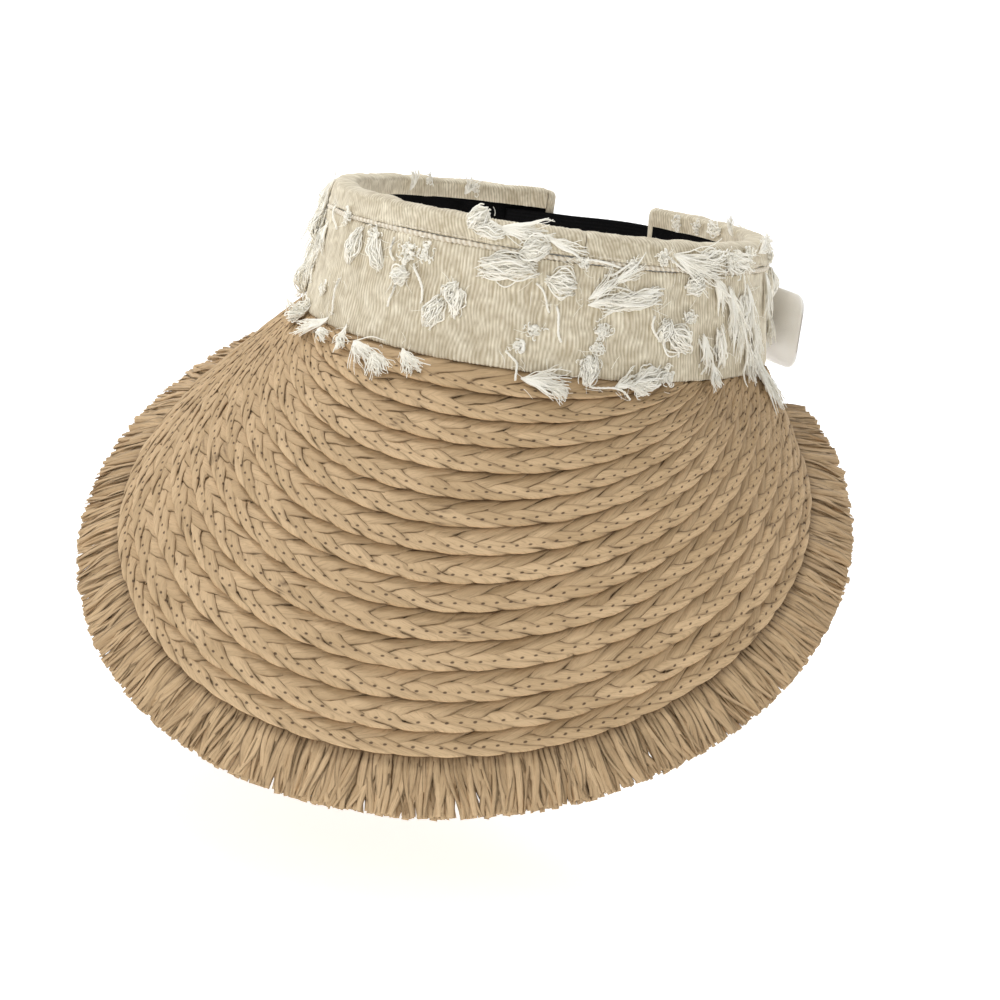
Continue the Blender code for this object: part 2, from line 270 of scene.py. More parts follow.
def new_group(name, inputs, outputs):
    """An empty shader group with named float, colour or vector sockets."""
    tree = bpy.data.node_groups.new(name, "ShaderNodeTree")
    for label, kind, value in inputs:
        socket = tree.interface.new_socket(label, in_out="INPUT", socket_type="NodeSocket" + kind)
        if value is not None:
            socket.default_value = value
    for label, kind in outputs:
        tree.interface.new_socket(label, in_out="OUTPUT", socket_type="NodeSocket" + kind)
    return tree, tree.nodes.new("NodeGroupInput"), tree.nodes.new("NodeGroupOutput")


def node(tree, kind, **settings):
    """A shader node with the given settings."""
    made = tree.nodes.new("ShaderNode" + kind)
    for key, value in settings.items():
        setattr(made, key, value)
    return made


def math(tree, operation, a, b=None, clamp=False):
    """A maths node whose inputs are sockets or numbers."""
    made = node(tree, "Math", operation=operation, use_clamp=clamp)
    for i, value in enumerate((a, b)):
        if value is None:
            continue
        if isinstance(value, (int, float)):
            made.inputs[i].default_value = value
        else:
            tree.links.new(value, made.inputs[i])
    return made.outputs[0]


def mix_colour(tree, factor, a, b):
    """A colour mix whose inputs are sockets, numbers or colours."""
    made = node(tree, "Mix", data_type="RGBA")
    for i, value in ((0, factor), (6, a), (7, b)):
        if isinstance(value, (int, float, tuple)):
            made.inputs[i].default_value = value
        else:
            tree.links.new(value, made.inputs[i])
    return made.outputs[2]


def send(tree, result, colour, height, roughness):
    """A group's three outputs."""
    tree.links.new(colour, result.inputs["Color"])
    tree.links.new(height, result.inputs["Height"])
    tree.links.new(roughness, result.inputs["Roughness"])


def bumped(tree, shader, colour, height, roughness, strength, distance):
    """Colour, roughness and a bump of the given strength and depth on a material's shader."""
    bump = node(tree, "Bump")
    bump.inputs["Strength"].default_value = strength
    bump.inputs["Distance"].default_value = distance
    tree.links.new(height, bump.inputs["Height"])
    tree.links.new(colour, shader.inputs["Base Color"])
    tree.links.new(roughness, shader.inputs["Roughness"])
    tree.links.new(bump.outputs[0], shader.inputs["Normal"])


def stretched_noise(tree, vector, stretch, detail=3.0, roughness=0.6):
    """Noise over a vector that is first scaled differently along each axis."""
    scaled = node(tree, "VectorMath", operation="MULTIPLY")
    tree.links.new(vector, scaled.inputs[0])
    scaled.inputs[1].default_value = stretch
    noise = node(tree, "TexNoise")
    noise.inputs["Scale"].default_value = 1.0
    noise.inputs["Detail"].default_value = detail
    noise.inputs["Roughness"].default_value = roughness
    tree.links.new(scaled.outputs[0], noise.inputs["Vector"])
    return noise.outputs["Fac"]


def straw_group():
    """Paper straw: pale and dark streaks along each strand, a tone of its own, and fine ridges."""
    tree, given, result = new_group(
        "paper_straw",
        [("Strand", "Vector", None), ("Tone", "Float", 0.5), ("Pale", "Color", (1, 1, 1, 1)),
         ("Middle", "Color", (1, 1, 1, 1)), ("Dark", "Color", (1, 1, 1, 1)), ("Object", "Vector", None)],
        [("Color", "Color"), ("Height", "Float"), ("Roughness", "Float")])
    strand = given.outputs["Strand"]
    streaks = stretched_noise(tree, strand, (2600.0, 150.0, 1.0), 3.0, 0.65)
    ridges = stretched_noise(tree, strand, (1500.0, 60.0, 1.0), 2.0, 0.5)
    patches = stretched_noise(tree, given.outputs["Object"], (60.0, 60.0, 60.0), 2.0, 0.5)
    wrinkles = stretched_noise(tree, strand, (1100.0, 330.0, 1.0), 4.0, 0.7)
    patches = math(tree, "MULTIPLY", math(tree, "SUBTRACT", patches, 0.5), 0.9)
    tone = math(tree, "ADD", given.outputs["Tone"], patches, clamp=True)
    pale = mix_colour(tree, tone, given.outputs["Middle"], given.outputs["Pale"])
    dark = math(tree, "MULTIPLY", math(tree, "SUBTRACT", 0.52, streaks), 3.2, clamp=True)
    colour = mix_colour(tree, math(tree, "MULTIPLY", dark, 0.62), pale, given.outputs["Dark"])
    height = math(tree, "ADD", math(tree, "MULTIPLY", ridges, 0.7), math(tree, "MULTIPLY", streaks, 0.5))
    height = math(tree, "ADD", height, math(tree, "MULTIPLY", wrinkles, 2.2))
    rough = math(tree, "ADD", 0.5, math(tree, "MULTIPLY", streaks, 0.25))
    send(tree, result, colour, height, rough)
    return tree


STRAW = straw_group()
STITCH_PITCH = 4.4 * MM
STITCH_LINE = 0.24
# Painted shade colour for the straw's strand edges, the shadows under the rows' lips and the fringe's
# roots.
PAINTED_SHADE_COLOUR = (0.105, 0.055, 0.020, 1.0)
# Painted shade colour for the needle holes.
PAINTED_HOLE_SHADE = (0.07, 0.035, 0.015, 1.0)


def straw_material(name, pale, middle, dark, stitched):
    """Straw whose strand, tone, painted shade and row are read from the mesh; stitched adds the line of
    needle holes.
    """
    mat, tree, shader = new_material(name, 0.6, specular=0.35)
    strand = node(tree, "UVMap", uv_map="strand")
    tone = node(tree, "Attribute", attribute_name="tone")
    place = node(tree, "TexCoord")
    straw = node(tree, "Group")
    straw.node_tree = STRAW
    tree.links.new(strand.outputs[0], straw.inputs["Strand"])
    tree.links.new(tone.outputs["Fac"], straw.inputs["Tone"])
    tree.links.new(place.outputs["Object"], straw.inputs["Object"])
    for label, colour in (("Pale", pale), ("Middle", middle), ("Dark", dark)):
        straw.inputs[label].default_value = (*colour, 1.0)
    # The shade attribute paints shade: it mixes the straw towards a dark brown, with patchy strength, at
    # the strands' edges, under the rows' lips and at the fringe's roots.
    shade = node(tree, "Attribute", attribute_name="shade")
    colour, height = straw.outputs["Color"], straw.outputs["Height"]
    uneven = stretched_noise(tree, place.outputs["Object"], (420.0, 420.0, 420.0), 2.0, 0.6)
    uneven = math(tree, "ADD", 0.18, math(tree, "MULTIPLY", uneven, 1.35))
    painted_shade = math(tree, "MULTIPLY", shade.outputs["Fac"], uneven, clamp=True)
    colour = mix_colour(tree, math(tree, "MULTIPLY", painted_shade, 0.86), colour, PAINTED_SHADE_COLOUR)
    if stitched:
        row = node(tree, "UVMap", uv_map="row")
        parts = node(tree, "SeparateXYZ")
        tree.links.new(row.outputs[0], parts.inputs[0])
        beat = math(tree, "FRACT", math(tree, "DIVIDE", parts.outputs[0], STITCH_PITCH))
        beat = math(tree, "SUBTRACT", beat, 0.5)
        along = math(tree, "DIVIDE", math(tree, "ABSOLUTE", beat), 0.15)
        across = math(tree, "ABSOLUTE", math(tree, "SUBTRACT", parts.outputs[1], STITCH_LINE))
        across = math(tree, "DIVIDE", across, 0.045)
        far = math(tree, "ADD", math(tree, "POWER", along, 2.0), math(tree, "POWER", across, 2.0))
        hole = math(tree, "SUBTRACT", 1.35, far, clamp=True)
        thread = math(tree, "SUBTRACT", 1.0, math(tree, "MULTIPLY", across, 0.55), clamp=True)
        # Each needle hole gets painted shade, a dark brown dot, besides its dent in the bump.
        colour = mix_colour(tree, math(tree, "MULTIPLY", hole, 0.85), colour, PAINTED_HOLE_SHADE)
        height = math(tree, "SUBTRACT", height, math(tree, "MULTIPLY", hole, 1.5))
        height = math(tree, "SUBTRACT", height, math(tree, "MULTIPLY", thread, 0.7))
    bumped(tree, shader, colour, height, straw.outputs["Roughness"], 0.75, 0.22 * MM)
    return mat


# ------------------------------------------------------------------------------- braided rows

PLAIT_STRANDS = 5
STRAND_SPACING = 12.2 * MM
STRAND_HALF_HEIGHT = 0.40 * MM
STRAND_THICKNESS = 0.24 * MM
STRAND_CROWN = 0.26 * MM
ROW_WIDTH = 12.6 * MM
ROW_LIP = 2.15 * MM
ROW_TUCK = 0.12
SWEEP_CURVE = 1.35
FOLD_SHARE = 0.05
CROSSING_SHARE = 0.42
FULL_ROW_WIDTH = 10.0 * MM
STRAW_LENGTH_SHIFT = 0.3


def row_reach(row):
    """How far round the forehead one row runs before it disappears under the band."""
    at = np.linspace(0.0, 1.0, 801)
    open_width = row + 1.0 + ROW_OVERLAP - np.maximum(band_row(at, 1.1 * MM), row)
    return at[np.nonzero(open_width > ROW_END_WIDTH)[0][-1]]


def plait(row, mat):
    """One row as a flat plait of five strands that pass over two and under two.

    Each strand is a lens-shaped ribbon. Along its path q it sweeps back and forth between the row's
    two edges while it moves sideways, and folds over at each edge. Its height is a smooth step from
    over to under that depends on where the crossing strands are. The row climbs from its inner
    edge, which is tucked in, to a raised outer lip, and the seam draws it in just above the lip."""
    # c: share across the row, 0 at its inner edge and 1 at its outer edge. h: height over or under.
    # s: distance along the row. r3: share across the strand. t: share of one sweep. mu: where the
    # crossing strands are, above a half while this strand is on top. kappa: row number, with decimals.
    reach = row_reach(row)
    at = np.linspace(-reach, reach, 400)
    overlap = ROW_OVERLAP if row < ROWS - 1 else 0.0
    middle, _ = brim_point(at, np.maximum(band_row(at), row) * 0.4 + 0.6 * (row + 1.0), 0.0)
    length_at = distance_along(middle)
    total = length_at[-1]
    rng = np.random.default_rng(400 + row)
    spacing = STRAND_SPACING * rng.uniform(0.95, 1.05)
    sweep = spacing * PLAIT_STRANDS / 2.0

    steps = np.array([
        0.0, 0.012, 0.035, 0.08, 0.14, 0.2, 0.26, 0.32, 0.38, 0.44, 0.5, 0.56, 0.64, 0.72, 0.8, 0.88,
        0.95, 0.985])
    sweeps = int(np.ceil((total + 2.0 * sweep + PLAIT_STRANDS * spacing) / sweep))
    q = (np.arange(sweeps)[:, None] + steps[None, :]).ravel()
    t = q - np.floor(q)
    across = np.array([-0.5, -0.43, -0.27, 0.0, 0.27, 0.43, 0.5, 0.4, 0.0, -0.4])
    side = np.array([0, 1, 1, 1, 1, 1, 0, -1, -1, -1.0])
    strand = np.arange(PLAIT_STRANDS)[:, None, None]
    q3, t3 = q[None, :, None], t[None, :, None]
    r3 = across[None, None, :]

    # The strand's middle line, with its overs and unders, and its folds at the row's edges.
    odd = np.floor(q3) % 2
    c = np.where(odd == 0, 1.0 - t3 ** SWEEP_CURVE, 1.0 - (1.0 - t3) ** SWEEP_CURVE)
    s = total + sweep + strand * spacing - q3 * sweep
    s_mid = s + 0.0 * r3
    wander = ripple(s_mid + 0.037 * strand, 31 + row, 24.0 * MM)
    mu = 3.0 - 5.0 * t3 + r3 + 0.12 * wander
    step = np.clip((mu - 0.5) / CROSSING_SHARE, -1.0, 1.0)
    step = step * (1.5 - 0.5 * step * step)
    fold = np.sin(0.5 * np.pi * np.clip(np.minimum(t3, 1.0 - t3) / FOLD_SHARE, 0.0, 1.0))
    h = STRAND_HALF_HEIGHT * step * fold
    lift = 0.14 * MM * wander
    edge_pull = (0.045 * (1.0 - 4.0 * r3 ** 2) + 0.03 * r3 + 0.022 * wander) * (1.0 - fold) ** 0.5
    c = c + np.where(c > 0.5, 1.0, -1.0) * edge_pull
    c = c + 0.012 * ripple(s_mid, 77 + row, 60.0 * MM)
    c = c + 0.030 * fold * ripple(s_mid + 0.061 * strand, 117 + row, 15.0 * MM)
    belly = 1.10 + 0.08 * np.abs(np.sin(2.0 * np.pi * t3)) ** 0.7
    width = spacing * (belly + 0.09 * ripple(s_mid + 0.05 * strand, 91 + row, 22.0 * MM))
    s = s + 0.10 * spacing * ripple(s_mid + 0.083 * strand, 131 + row, 17.0 * MM)

    # Its lens-shaped section, set square to that line.
    dc = np.gradient(c * ROW_WIDTH, axis=1)
    dh = np.gradient(h, axis=1)
    size = np.hypot(dc, dh) + 1e-9
    nc, nh = dh / size, -dc / size
    crown = STRAND_CROWN * (1.0 + 0.3 * ripple(s_mid, 55 + row, 9.0 * MM))
    crease = 0.09 * MM * ripple(r3 * 9.0 * MM + 0.07 * strand + 2.6 * q3 * MM, 65 + row, 2.6 * MM)
    offset = side[None, None, :] * (STRAND_THICKNESS / 2.0 + crown * (1.0 - 4.0 * r3 ** 2) + crease)
    tilt = 0.16 * MM * r3 * np.sign(step)
    c = c + nc * offset / ROW_WIDTH
    h = h + nh * offset + lift + tilt
    s = s + r3 * width

    # From the flat plait to the brim: the tucked inner edge, the climb to the lip and the seam.
    s = np.clip(s, 0.0, total)
    place = np.interp(s, length_at, at)
    near = np.maximum(band_row(place), row - ROW_TUCK)
    far = row + 1.0 + overlap
    kappa = near + (far - near) * c
    pitch = row_distance(place, row) - row_distance(place, row + 1.0)
    slim = np.clip(pitch / FULL_ROW_WIDTH, 0.3, 1.1)
    climb = ROW_LIP * slim * np.clip(kappa - row, 0.0, 2.0) ** 1.3
    seam = 0.30 * MM * slim * np.exp(-((far - kappa - STITCH_LINE) / 0.06) ** 2)
    verts, _ = brim_point(place, kappa, climb - 0.45 * MM - seam + h * (0.35 + 0.65 * slim))
    # Painted shade: darker strand edges where shade falls between the strands, and a painted shadow across
    # each row just under the lip of the row above.
    rim_shade = np.clip((np.abs(r3) - 0.37) / 0.13, 0.0, 1.0) + 0.0 * kappa
    lip_shadow_width = 0.08 + 0.06 * ripple(s, 17 + row, 13.0 * MM)
    lip_shadow = np.clip(1.0 - (kappa - row - overlap + 0.03) / lip_shadow_width, 0.0, 1.0)
    lip_shadow = lip_shadow if row else 0.4 * lip_shadow
    shade = np.clip(0.85 * rim_shade + 0.9 * lip_shadow ** 1.5, 0.0, 1.0)

    # Sections wholly past either end of the row are left out.
    keep_from = np.argmax(np.any(s < total, axis=(0, 2)))
    keep_to = len(q) - np.argmax(np.any(s > 0.0, axis=(0, 2))[::-1])
    verts = verts[:, keep_from:keep_to]
    shape = verts.shape[:3]
    half_turn = np.floor(q3) + strand * 0.37
    length = q3 * np.hypot(sweep, ROW_WIDTH)
    strand_uv = np.stack(np.broadcast_arrays(
        r3 * 4.4 * MM + 0.02 * strand + 0.013 * half_turn, length + STRAW_LENGTH_SHIFT * strand), axis=-1)
    row_uv = np.stack(np.broadcast_arrays(s, far - kappa), axis=-1)
    tones = rng.uniform(0.0, 1.0, (PLAIT_STRANDS, sweeps))
    tone = tones[:, np.floor(q).astype(int)][:, :, None] + 0.0 * r3
    cut = slice(keep_from, keep_to)
    return make_mesh(
        "plaited_row_%02d" % (row + 1), verts, tube_faces(*shape), mat,
        uvs={"strand": strand_uv[:, cut], "row": row_uv[:, cut]},
        values={"tone": tone[:, cut], "shade": shade[:, cut]})


def fringe_strips(name, seed, count, lift, mat):
    """Cut straw ends: creased ribbons from under the last row to the fringe's even tip line.

    Each strip starts a little inside the edge, leans to one side with its neighbours, waves and
    twists slightly, and ends at the tip oval; its section is a shallow V."""
    rng = np.random.default_rng(seed)
    table = np.linspace(-0.985, 0.985, 600)
    along = distance_along(brim_edge(table))
    spot = (np.arange(count) + rng.uniform(-0.45, 0.45, count) + 0.5) / count * along[-1]
    place = np.interp(spot, along, table)[:, None]
    speed = along[-1] / (table[-1] - table[0])
    lean = 1.8 * MM * ripple(spot, 903, 34.0 * MM) + rng.normal(0.0, 2.2 * MM, count)
    lean = lean * np.clip((along[-1] - spot) / 0.02, 0.0, 1.0) * np.clip(spot / 0.02, 0.0, 1.0)
    reach = rng.uniform(0.95, 1.01, count) + 0.012 * ripple(spot, seed + 5, 30.0 * MM)
    reach = np.minimum(reach, 1.03)[:, None]
    t = np.array([-0.16, 0.0, 0.12, 0.25, 0.38, 0.5, 0.62, 0.74, 0.86, 0.95, 1.0])[None, :]
    go = np.maximum(t, 0.0)
    bend = go * go * (1.8 - 0.8 * go)
    at = np.clip(place + lean[:, None] / speed * bend, -0.99, 0.99)
    root, edge = brim_root(at), brim_edge(at)
    tip = brim_edge(at, FRINGE_OUT * reach, FRINGE_DROP * reach * 0.9)
    _, normal = brim_point(at, float(ROWS), 0.0)
    outward = unit(edge - root)
    inward = np.minimum(t, 0.0)[..., None] * 22.0 * MM
    wave = rng.uniform(-0.5, 0.9, (count, 1)) * MM * np.sin(np.pi * go * rng.uniform(0.8, 1.9, (count, 1)))
    level = lift + wave + rng.uniform(-0.35, 0.35, (count, 1)) * MM * go
    path = edge + (tip - edge) * go[..., None] + outward * inward + normal * level[..., None]
    curl_size = rng.uniform(-1.0, 1.0, (count, 1)) * 0.9 * MM
    curl_rate = 2.0 * np.pi * rng.uniform(0.6, 1.2, (count, 1))
    curl = curl_size * np.sin(go * curl_rate + rng.uniform(0.0, 6.28, (count, 1)))
    forward = unit(np.gradient(path, axis=1))
    sideways = unit(np.cross(normal, forward))
    path = path + sideways * (curl * go)[..., None]
    twist = rng.uniform(-0.6, 0.6, (count, 1)) + rng.normal(0.0, 0.5, (count, 1)) * go
    face = unit(np.cross(forward, sideways))
    wide = sideways * np.cos(twist)[..., None] + face * np.sin(twist)[..., None]
    high = face * np.cos(twist)[..., None] - sideways * np.sin(twist)[..., None]
    belly = 0.72 + 0.28 * np.sin(np.pi * np.clip(go + 0.12, 0.0, 1.0))
    width = rng.uniform(2.1, 3.7, (count, 1)) * MM * belly
    fold = rng.uniform(-0.2, 0.75, (count, 1)) * MM
    x = np.array([-0.5, -0.27, 0.0, 0.27, 0.5, 0.25, 0.0, -0.25])
    rise = np.array([0.0, 0.55, 1.0, 0.5, 0.0, 0.5, 1.0, 0.55])
    skin_side = np.array([0.0, 1.0, 1.0, 1.0, 0.0, -1.0, -1.0, -1.0])
    verts = path[:, :, None] + wide[:, :, None] * (width[..., None] * x)[..., None]
    verts = verts + high[:, :, None] * (fold[..., None] * rise + 0.13 * MM * skin_side)[..., None]
    shape = verts.shape[:3]
    # Painted shade: darker strip edges where shade falls between the strips, and darker roots where they
    # run under the last row.
    rim_shade = 6.4 * np.abs(x)[None, None, :] ** 3 * (1.0 - 0.6 * go[..., None])
    root_shade = 0.75 * np.clip(1.0 - go / 0.22, 0.0, 1.0)[..., None]
    shade = np.clip(rim_shade + root_shade, 0.0, 1.0)
    strand_uv = np.stack(np.broadcast_arrays(
        x[None, None, :] * 3.2 * MM + 0.011 * np.arange(count)[:, None, None],
        (go * 24.0 * MM)[..., None] + 0.4 * np.arange(count)[:, None, None]), axis=-1)
    tone = np.broadcast_to(rng.uniform(0.0, 1.0, (count, 1, 1)) * 0.8 + 0.2 * go[..., None], shape)
    return make_mesh(
        name, verts, tube_faces(*shape), mat, uvs={"strand": strand_uv},
        values={"tone": tone, "shade": np.broadcast_to(shade, shape)})


straw = straw_material(
    "straw_braid", (0.68, 0.485, 0.28), (0.54, 0.375, 0.205), (0.25, 0.15, 0.065), stitched=True)
straw_cut = straw_material(
    "straw_cut_ends", (0.68, 0.485, 0.28), (0.50, 0.345, 0.19), (0.16, 0.09, 0.04), stitched=False)
for row in range(ROWS):
    piece = plait(row, straw)
    finish_piece(piece, "visor", "straw", "braid_row_%02d" % (row + 1))
for layer in range(FRINGE_LAYERS):
    level = FRINGE_LEVEL - FRINGE_LAYER_STEP * layer
    piece = fringe_strips("fringe_strips_%d" % (layer + 1), 900 + layer, STRIPS_IN_LAYER, level, straw_cut)
    finish_piece(piece, "visor", "straw_fringe", "fringe")

# ---------------------------------------------------------------------------- fabric and band

RIB_PITCH = 1.4 * MM
WELT_DROP = 9.25 * MM
STITCH_DROP = WELT_DROP - 1.9 * MM
FACE_TOP_DROP = 10.3 * MM
FACE_SKIRT = 2.5 * MM
SKIRT_END_DEG = 112.0
LINING_BOTTOM = 4.8 * MM
LINING_TOP_DROP = 1.6 * MM

# Layers of the band, each as its outer and inner depth below the cover's face.
FACE_LAYER = (0.1 * MM, 1.2 * MM)
LINING_LAYER = (3.2 * MM, 6.2 * MM)
TAPE_LAYER = (4.2 * MM, 5.0 * MM)


def cloud(u, v, seed):
    """A smooth random field from -1 to 1: a table of random heights eased between neighbours."""
    table = np.random.default_rng(seed).uniform(-1.0, 1.0, (67, 67))
    iu, iv = np.floor(u).astype(int), np.floor(v).astype(int)
    fu, fv = u - iu, v - iv
    fu, fv = fu * fu * (3.0 - 2.0 * fu), fv * fv * (3.0 - 2.0 * fv)
    a, b = table[iu % 67, iv % 67], table[(iu + 1) % 67, iv % 67]
    c, d = table[iu % 67, (iv + 1) % 67], table[(iu + 1) % 67, (iv + 1) % 67]
    return (a * (1 - fu) + b * fu) * (1 - fv) + (c * (1 - fu) + d * fu) * fv


def columns_between(start_deg, end_deg, pitch):
    """Angles at an even spacing along the band, and the distance of each along it."""
    fine = np.radians(np.linspace(start_deg, end_deg, 2000))
    along = distance_along(band_point(fine, 0.0, 0.0))
    count = int(round(along[-1] / pitch)) + 1
    s = np.linspace(0.0, along[-1], count)
    return np.interp(s, along, fine), s


def layer_path(outer, inner, bottom, top, front, back):
    """Depth and height around a strip: up its outer face, over a round top, down and round again."""
    r = (inner - outer) / 2.0
    bend = np.radians([[30.0, 60.0, 90.0, 120.0, 150.0]])
    top = np.asarray(top, float)[:, None]
    bottom = bottom + 0.0 * top
    low, high = bottom + r, top - r
    up, down = np.linspace(0.0, 1.0, front)[None, :], np.linspace(1.0, 0.0, back)[None, :]
    middle = (outer + inner) / 2.0 + 0.0 * top
    swing, rise = r * np.cos(bend), r * np.sin(bend)
    depth = [middle - r + 0 * up, middle - swing, middle + r + 0 * down, middle + swing]
    z = [low + (high - low) * up, high + rise, low + (high - low) * down, low - rise]
    return np.concatenate(depth, axis=1), np.concatenate(z, axis=1)


def wrap(name, angle, s, depth, z, relief, tone, mat):
    """A closed piece round the band from the depth and height of its section in each column.

    relief moves each point outwards along the section's own normal."""
    td = np.roll(depth, -1, axis=1) - np.roll(depth, 1, axis=1)
    tz = np.roll(z, -1, axis=1) - np.roll(z, 1, axis=1)
    size = np.hypot(td, tz) + 1e-12
    area = np.sum(depth * np.roll(z, -1, axis=1) - np.roll(depth, -1, axis=1) * z, axis=1)
    turn = -np.sign(area)[:, None]
    around = np.cumsum(np.hypot(np.diff(depth, axis=1, prepend=depth[:, :1]),
                                np.diff(z, axis=1, prepend=z[:, :1])), axis=1)
    new_depth = depth - turn * tz / size * relief
    new_z = z + turn * td / size * relief
    verts = band_point(angle[:, None] + 0 * depth, new_depth, new_z)
    uv = np.stack(np.broadcast_arrays(s[:, None], around), axis=-1)
    return make_mesh(
        name, verts, tube_faces(1, *depth.shape), mat, uvs={"cloth": uv},
        values={"tone": np.broadcast_to(tone, depth.shape)})


def crinkle(s, v, slant, seed):
    """Gathered upright ribs that wander, fork and fade, from 0 in a crease to 1 on a rib."""
    phase = 2.0 * np.pi * (s + slant * v) / RIB_PITCH
    phase = phase + 4.4 * cloud(s / (9.0 * MM), v / (8.0 * MM), seed)
    phase = phase + 2.3 * cloud(s / (2.6 * MM), v / (4.0 * MM), seed + 1)
    rib = (0.5 + 0.5 * np.cos(phase)) ** 0.75
    strength = 0.78 + 0.22 * cloud(s / (4.0 * MM), v / (5.0 * MM), seed + 2)
    fine = cloud(s / (0.8 * MM), v / (0.9 * MM), seed + 4)
    lump = cloud(s / (2.4 * MM), v / (1.6 * MM), seed + 6)
    return np.clip(0.04 + 0.74 * rib * strength + 0.24 * fine + 0.24 * lump, 0.0, 1.0)


# Half a turn for each thread, rounded: on the yarns' long threads more digits would shift the weave.
THREAD_TURN = 3.14159


def cloth_group():
    """Woven cloth: threads over and under at a pitch with painted shade between them, painted shade in the
    creases from the tone, and soft mottling.
    """
    tree, given, result = new_group(
        "woven_cloth",
        [("Cloth", "Vector", None), ("Object", "Vector", None), ("Tone", "Float", 0.5),
         ("Thread", "Float", 0.4 * MM), ("Pale", "Color", (1, 1, 1, 1)), ("Dark", "Color", (0, 0, 0, 1))],
        [("Color", "Color"), ("Height", "Float"), ("Roughness", "Float")])
    parts = node(tree, "SeparateXYZ")
    tree.links.new(given.outputs["Cloth"], parts.inputs[0])
    x = math(tree, "DIVIDE", parts.outputs[0], given.outputs["Thread"])
    y = math(tree, "DIVIDE", parts.outputs[1], given.outputs["Thread"])
    warp = math(tree, "ABSOLUTE", math(tree, "SINE", math(tree, "MULTIPLY", x, THREAD_TURN)))
    weft = math(tree, "ABSOLUTE", math(tree, "SINE", math(tree, "MULTIPLY", y, THREAD_TURN)))
    over = math(tree, "ADD", math(tree, "FLOOR", x), math(tree, "FLOOR", y))
    over = math(tree, "FLOORED_MODULO", over, 2.0)
    thread = math(tree, "ADD", math(tree, "MULTIPLY", warp, over),
                  math(tree, "MULTIPLY", weft, math(tree, "SUBTRACT", 1.0, over)))
    mottle = stretched_noise(tree, given.outputs["Object"], (130.0, 130.0, 130.0), 3.0, 0.6)
    fuzz = stretched_noise(tree, given.outputs["Object"], (2600.0, 2600.0, 2600.0), 2.0, 0.6)
    mottle = math(tree, "MULTIPLY", math(tree, "SUBTRACT", mottle, 0.5), 0.28)
    # Painted shade between the threads and painted light on their crowns, following the weave's bump.
    weave = math(tree, "MULTIPLY", math(tree, "SUBTRACT", thread, 0.6), 0.22)
    light = math(tree, "ADD", given.outputs["Tone"], mottle)
    light = math(tree, "ADD", light, weave, clamp=True)
    colour = mix_colour(tree, light, given.outputs["Dark"], given.outputs["Pale"])
    height = math(tree, "ADD", math(tree, "MULTIPLY", thread, 0.6), math(tree, "MULTIPLY", fuzz, 0.7))
    rough = math(tree, "ADD", 0.72, math(tree, "MULTIPLY", fuzz, 0.25))
    send(tree, result, colour, height, rough)
    return tree


CLOTH = cloth_group()


def cloth_material(name, pale, dark, thread, relief, sheen=0.2, uv="cloth", specular=0.2):
    """Cloth whose ribs and creases are read from the mesh, with painted shade in the creases from the tone.
    """
    mat, tree, shader = new_material(name, 0.85, sheen, specular)
    cloth = node(tree, "Group")
    cloth.node_tree = CLOTH
    place = node(tree, "TexCoord")
    tree.links.new(place.outputs["Object"], cloth.inputs["Object"])
    if uv:
        uv_map = node(tree, "UVMap", uv_map=uv)
        tone = node(tree, "Attribute", attribute_name="tone")
        tree.links.new(uv_map.outputs[0], cloth.inputs["Cloth"])
        tree.links.new(tone.outputs["Fac"], cloth.inputs["Tone"])
    else:
        tree.links.new(place.outputs["Object"], cloth.inputs["Cloth"])
    cloth.inputs["Thread"].default_value = thread
    cloth.inputs["Pale"].default_value = (*pale, 1.0)
    cloth.inputs["Dark"].default_value = (*dark, 1.0)
    colour, height, rough = (cloth.outputs[label] for label in ("Color", "Height", "Roughness"))
    bumped(tree, shader, colour, height, rough, 0.8, relief)
    return mat


# Each cloth's dark colour shows where the tone is low: painted shade in creases, gathers, grooves and the
# pressed line, and random tone on the lining, yarns and felt.
cream = cloth_material("cream_crinkle_cotton", (0.95, 0.88, 0.71), (0.37, 0.29, 0.17), 0.42 * MM, 0.08 * MM)
piping_cotton = cloth_material(
    "cream_piping_cotton", (0.88, 0.82, 0.70), (0.62, 0.52, 0.37), 0.5 * MM, 0.1 * MM)
yarn_cotton = cloth_material(
    "white_slub_yarn", (1.0, 0.975, 0.885), (1.0, 0.955, 0.84), 0.3 * MM, 0.03 * MM, 0.3)
black_knit = cloth_material(
    "black_lining_knit", (0.007, 0.007, 0.008), (0.002, 0.002, 0.002), 0.9 * MM, 0.2 * MM, 0.0,
    specular=0.06)
black_elastic = cloth_material(
    "black_woven_elastic", (0.008, 0.008, 0.009), (0.002, 0.002, 0.002), 0.8 * MM, 0.15 * MM, 0.0,
    specular=0.08)
touch_nap = cloth_material(
    "black_touch_nap", (0.03, 0.03, 0.032), (0.008, 0.008, 0.009), 0.5 * MM, 0.3 * MM, 0.3)
pale_felt = cloth_material(
    "pale_grey_felt", (0.99, 0.98, 0.95), (0.92, 0.90, 0.86), 0.7 * MM, 0.12 * MM, 0.3)
beige_twill = cloth_material(
    "beige_binding_twill", (0.60, 0.50, 0.37), (0.42, 0.33, 0.23), 0.6 * MM, 0.12 * MM)
board = cloth_material(
    "white_stiffening_board", (0.80, 0.80, 0.78), (0.70, 0.70, 0.68), 0.9 * MM, 0.04 * MM, 0.0, uv=None)


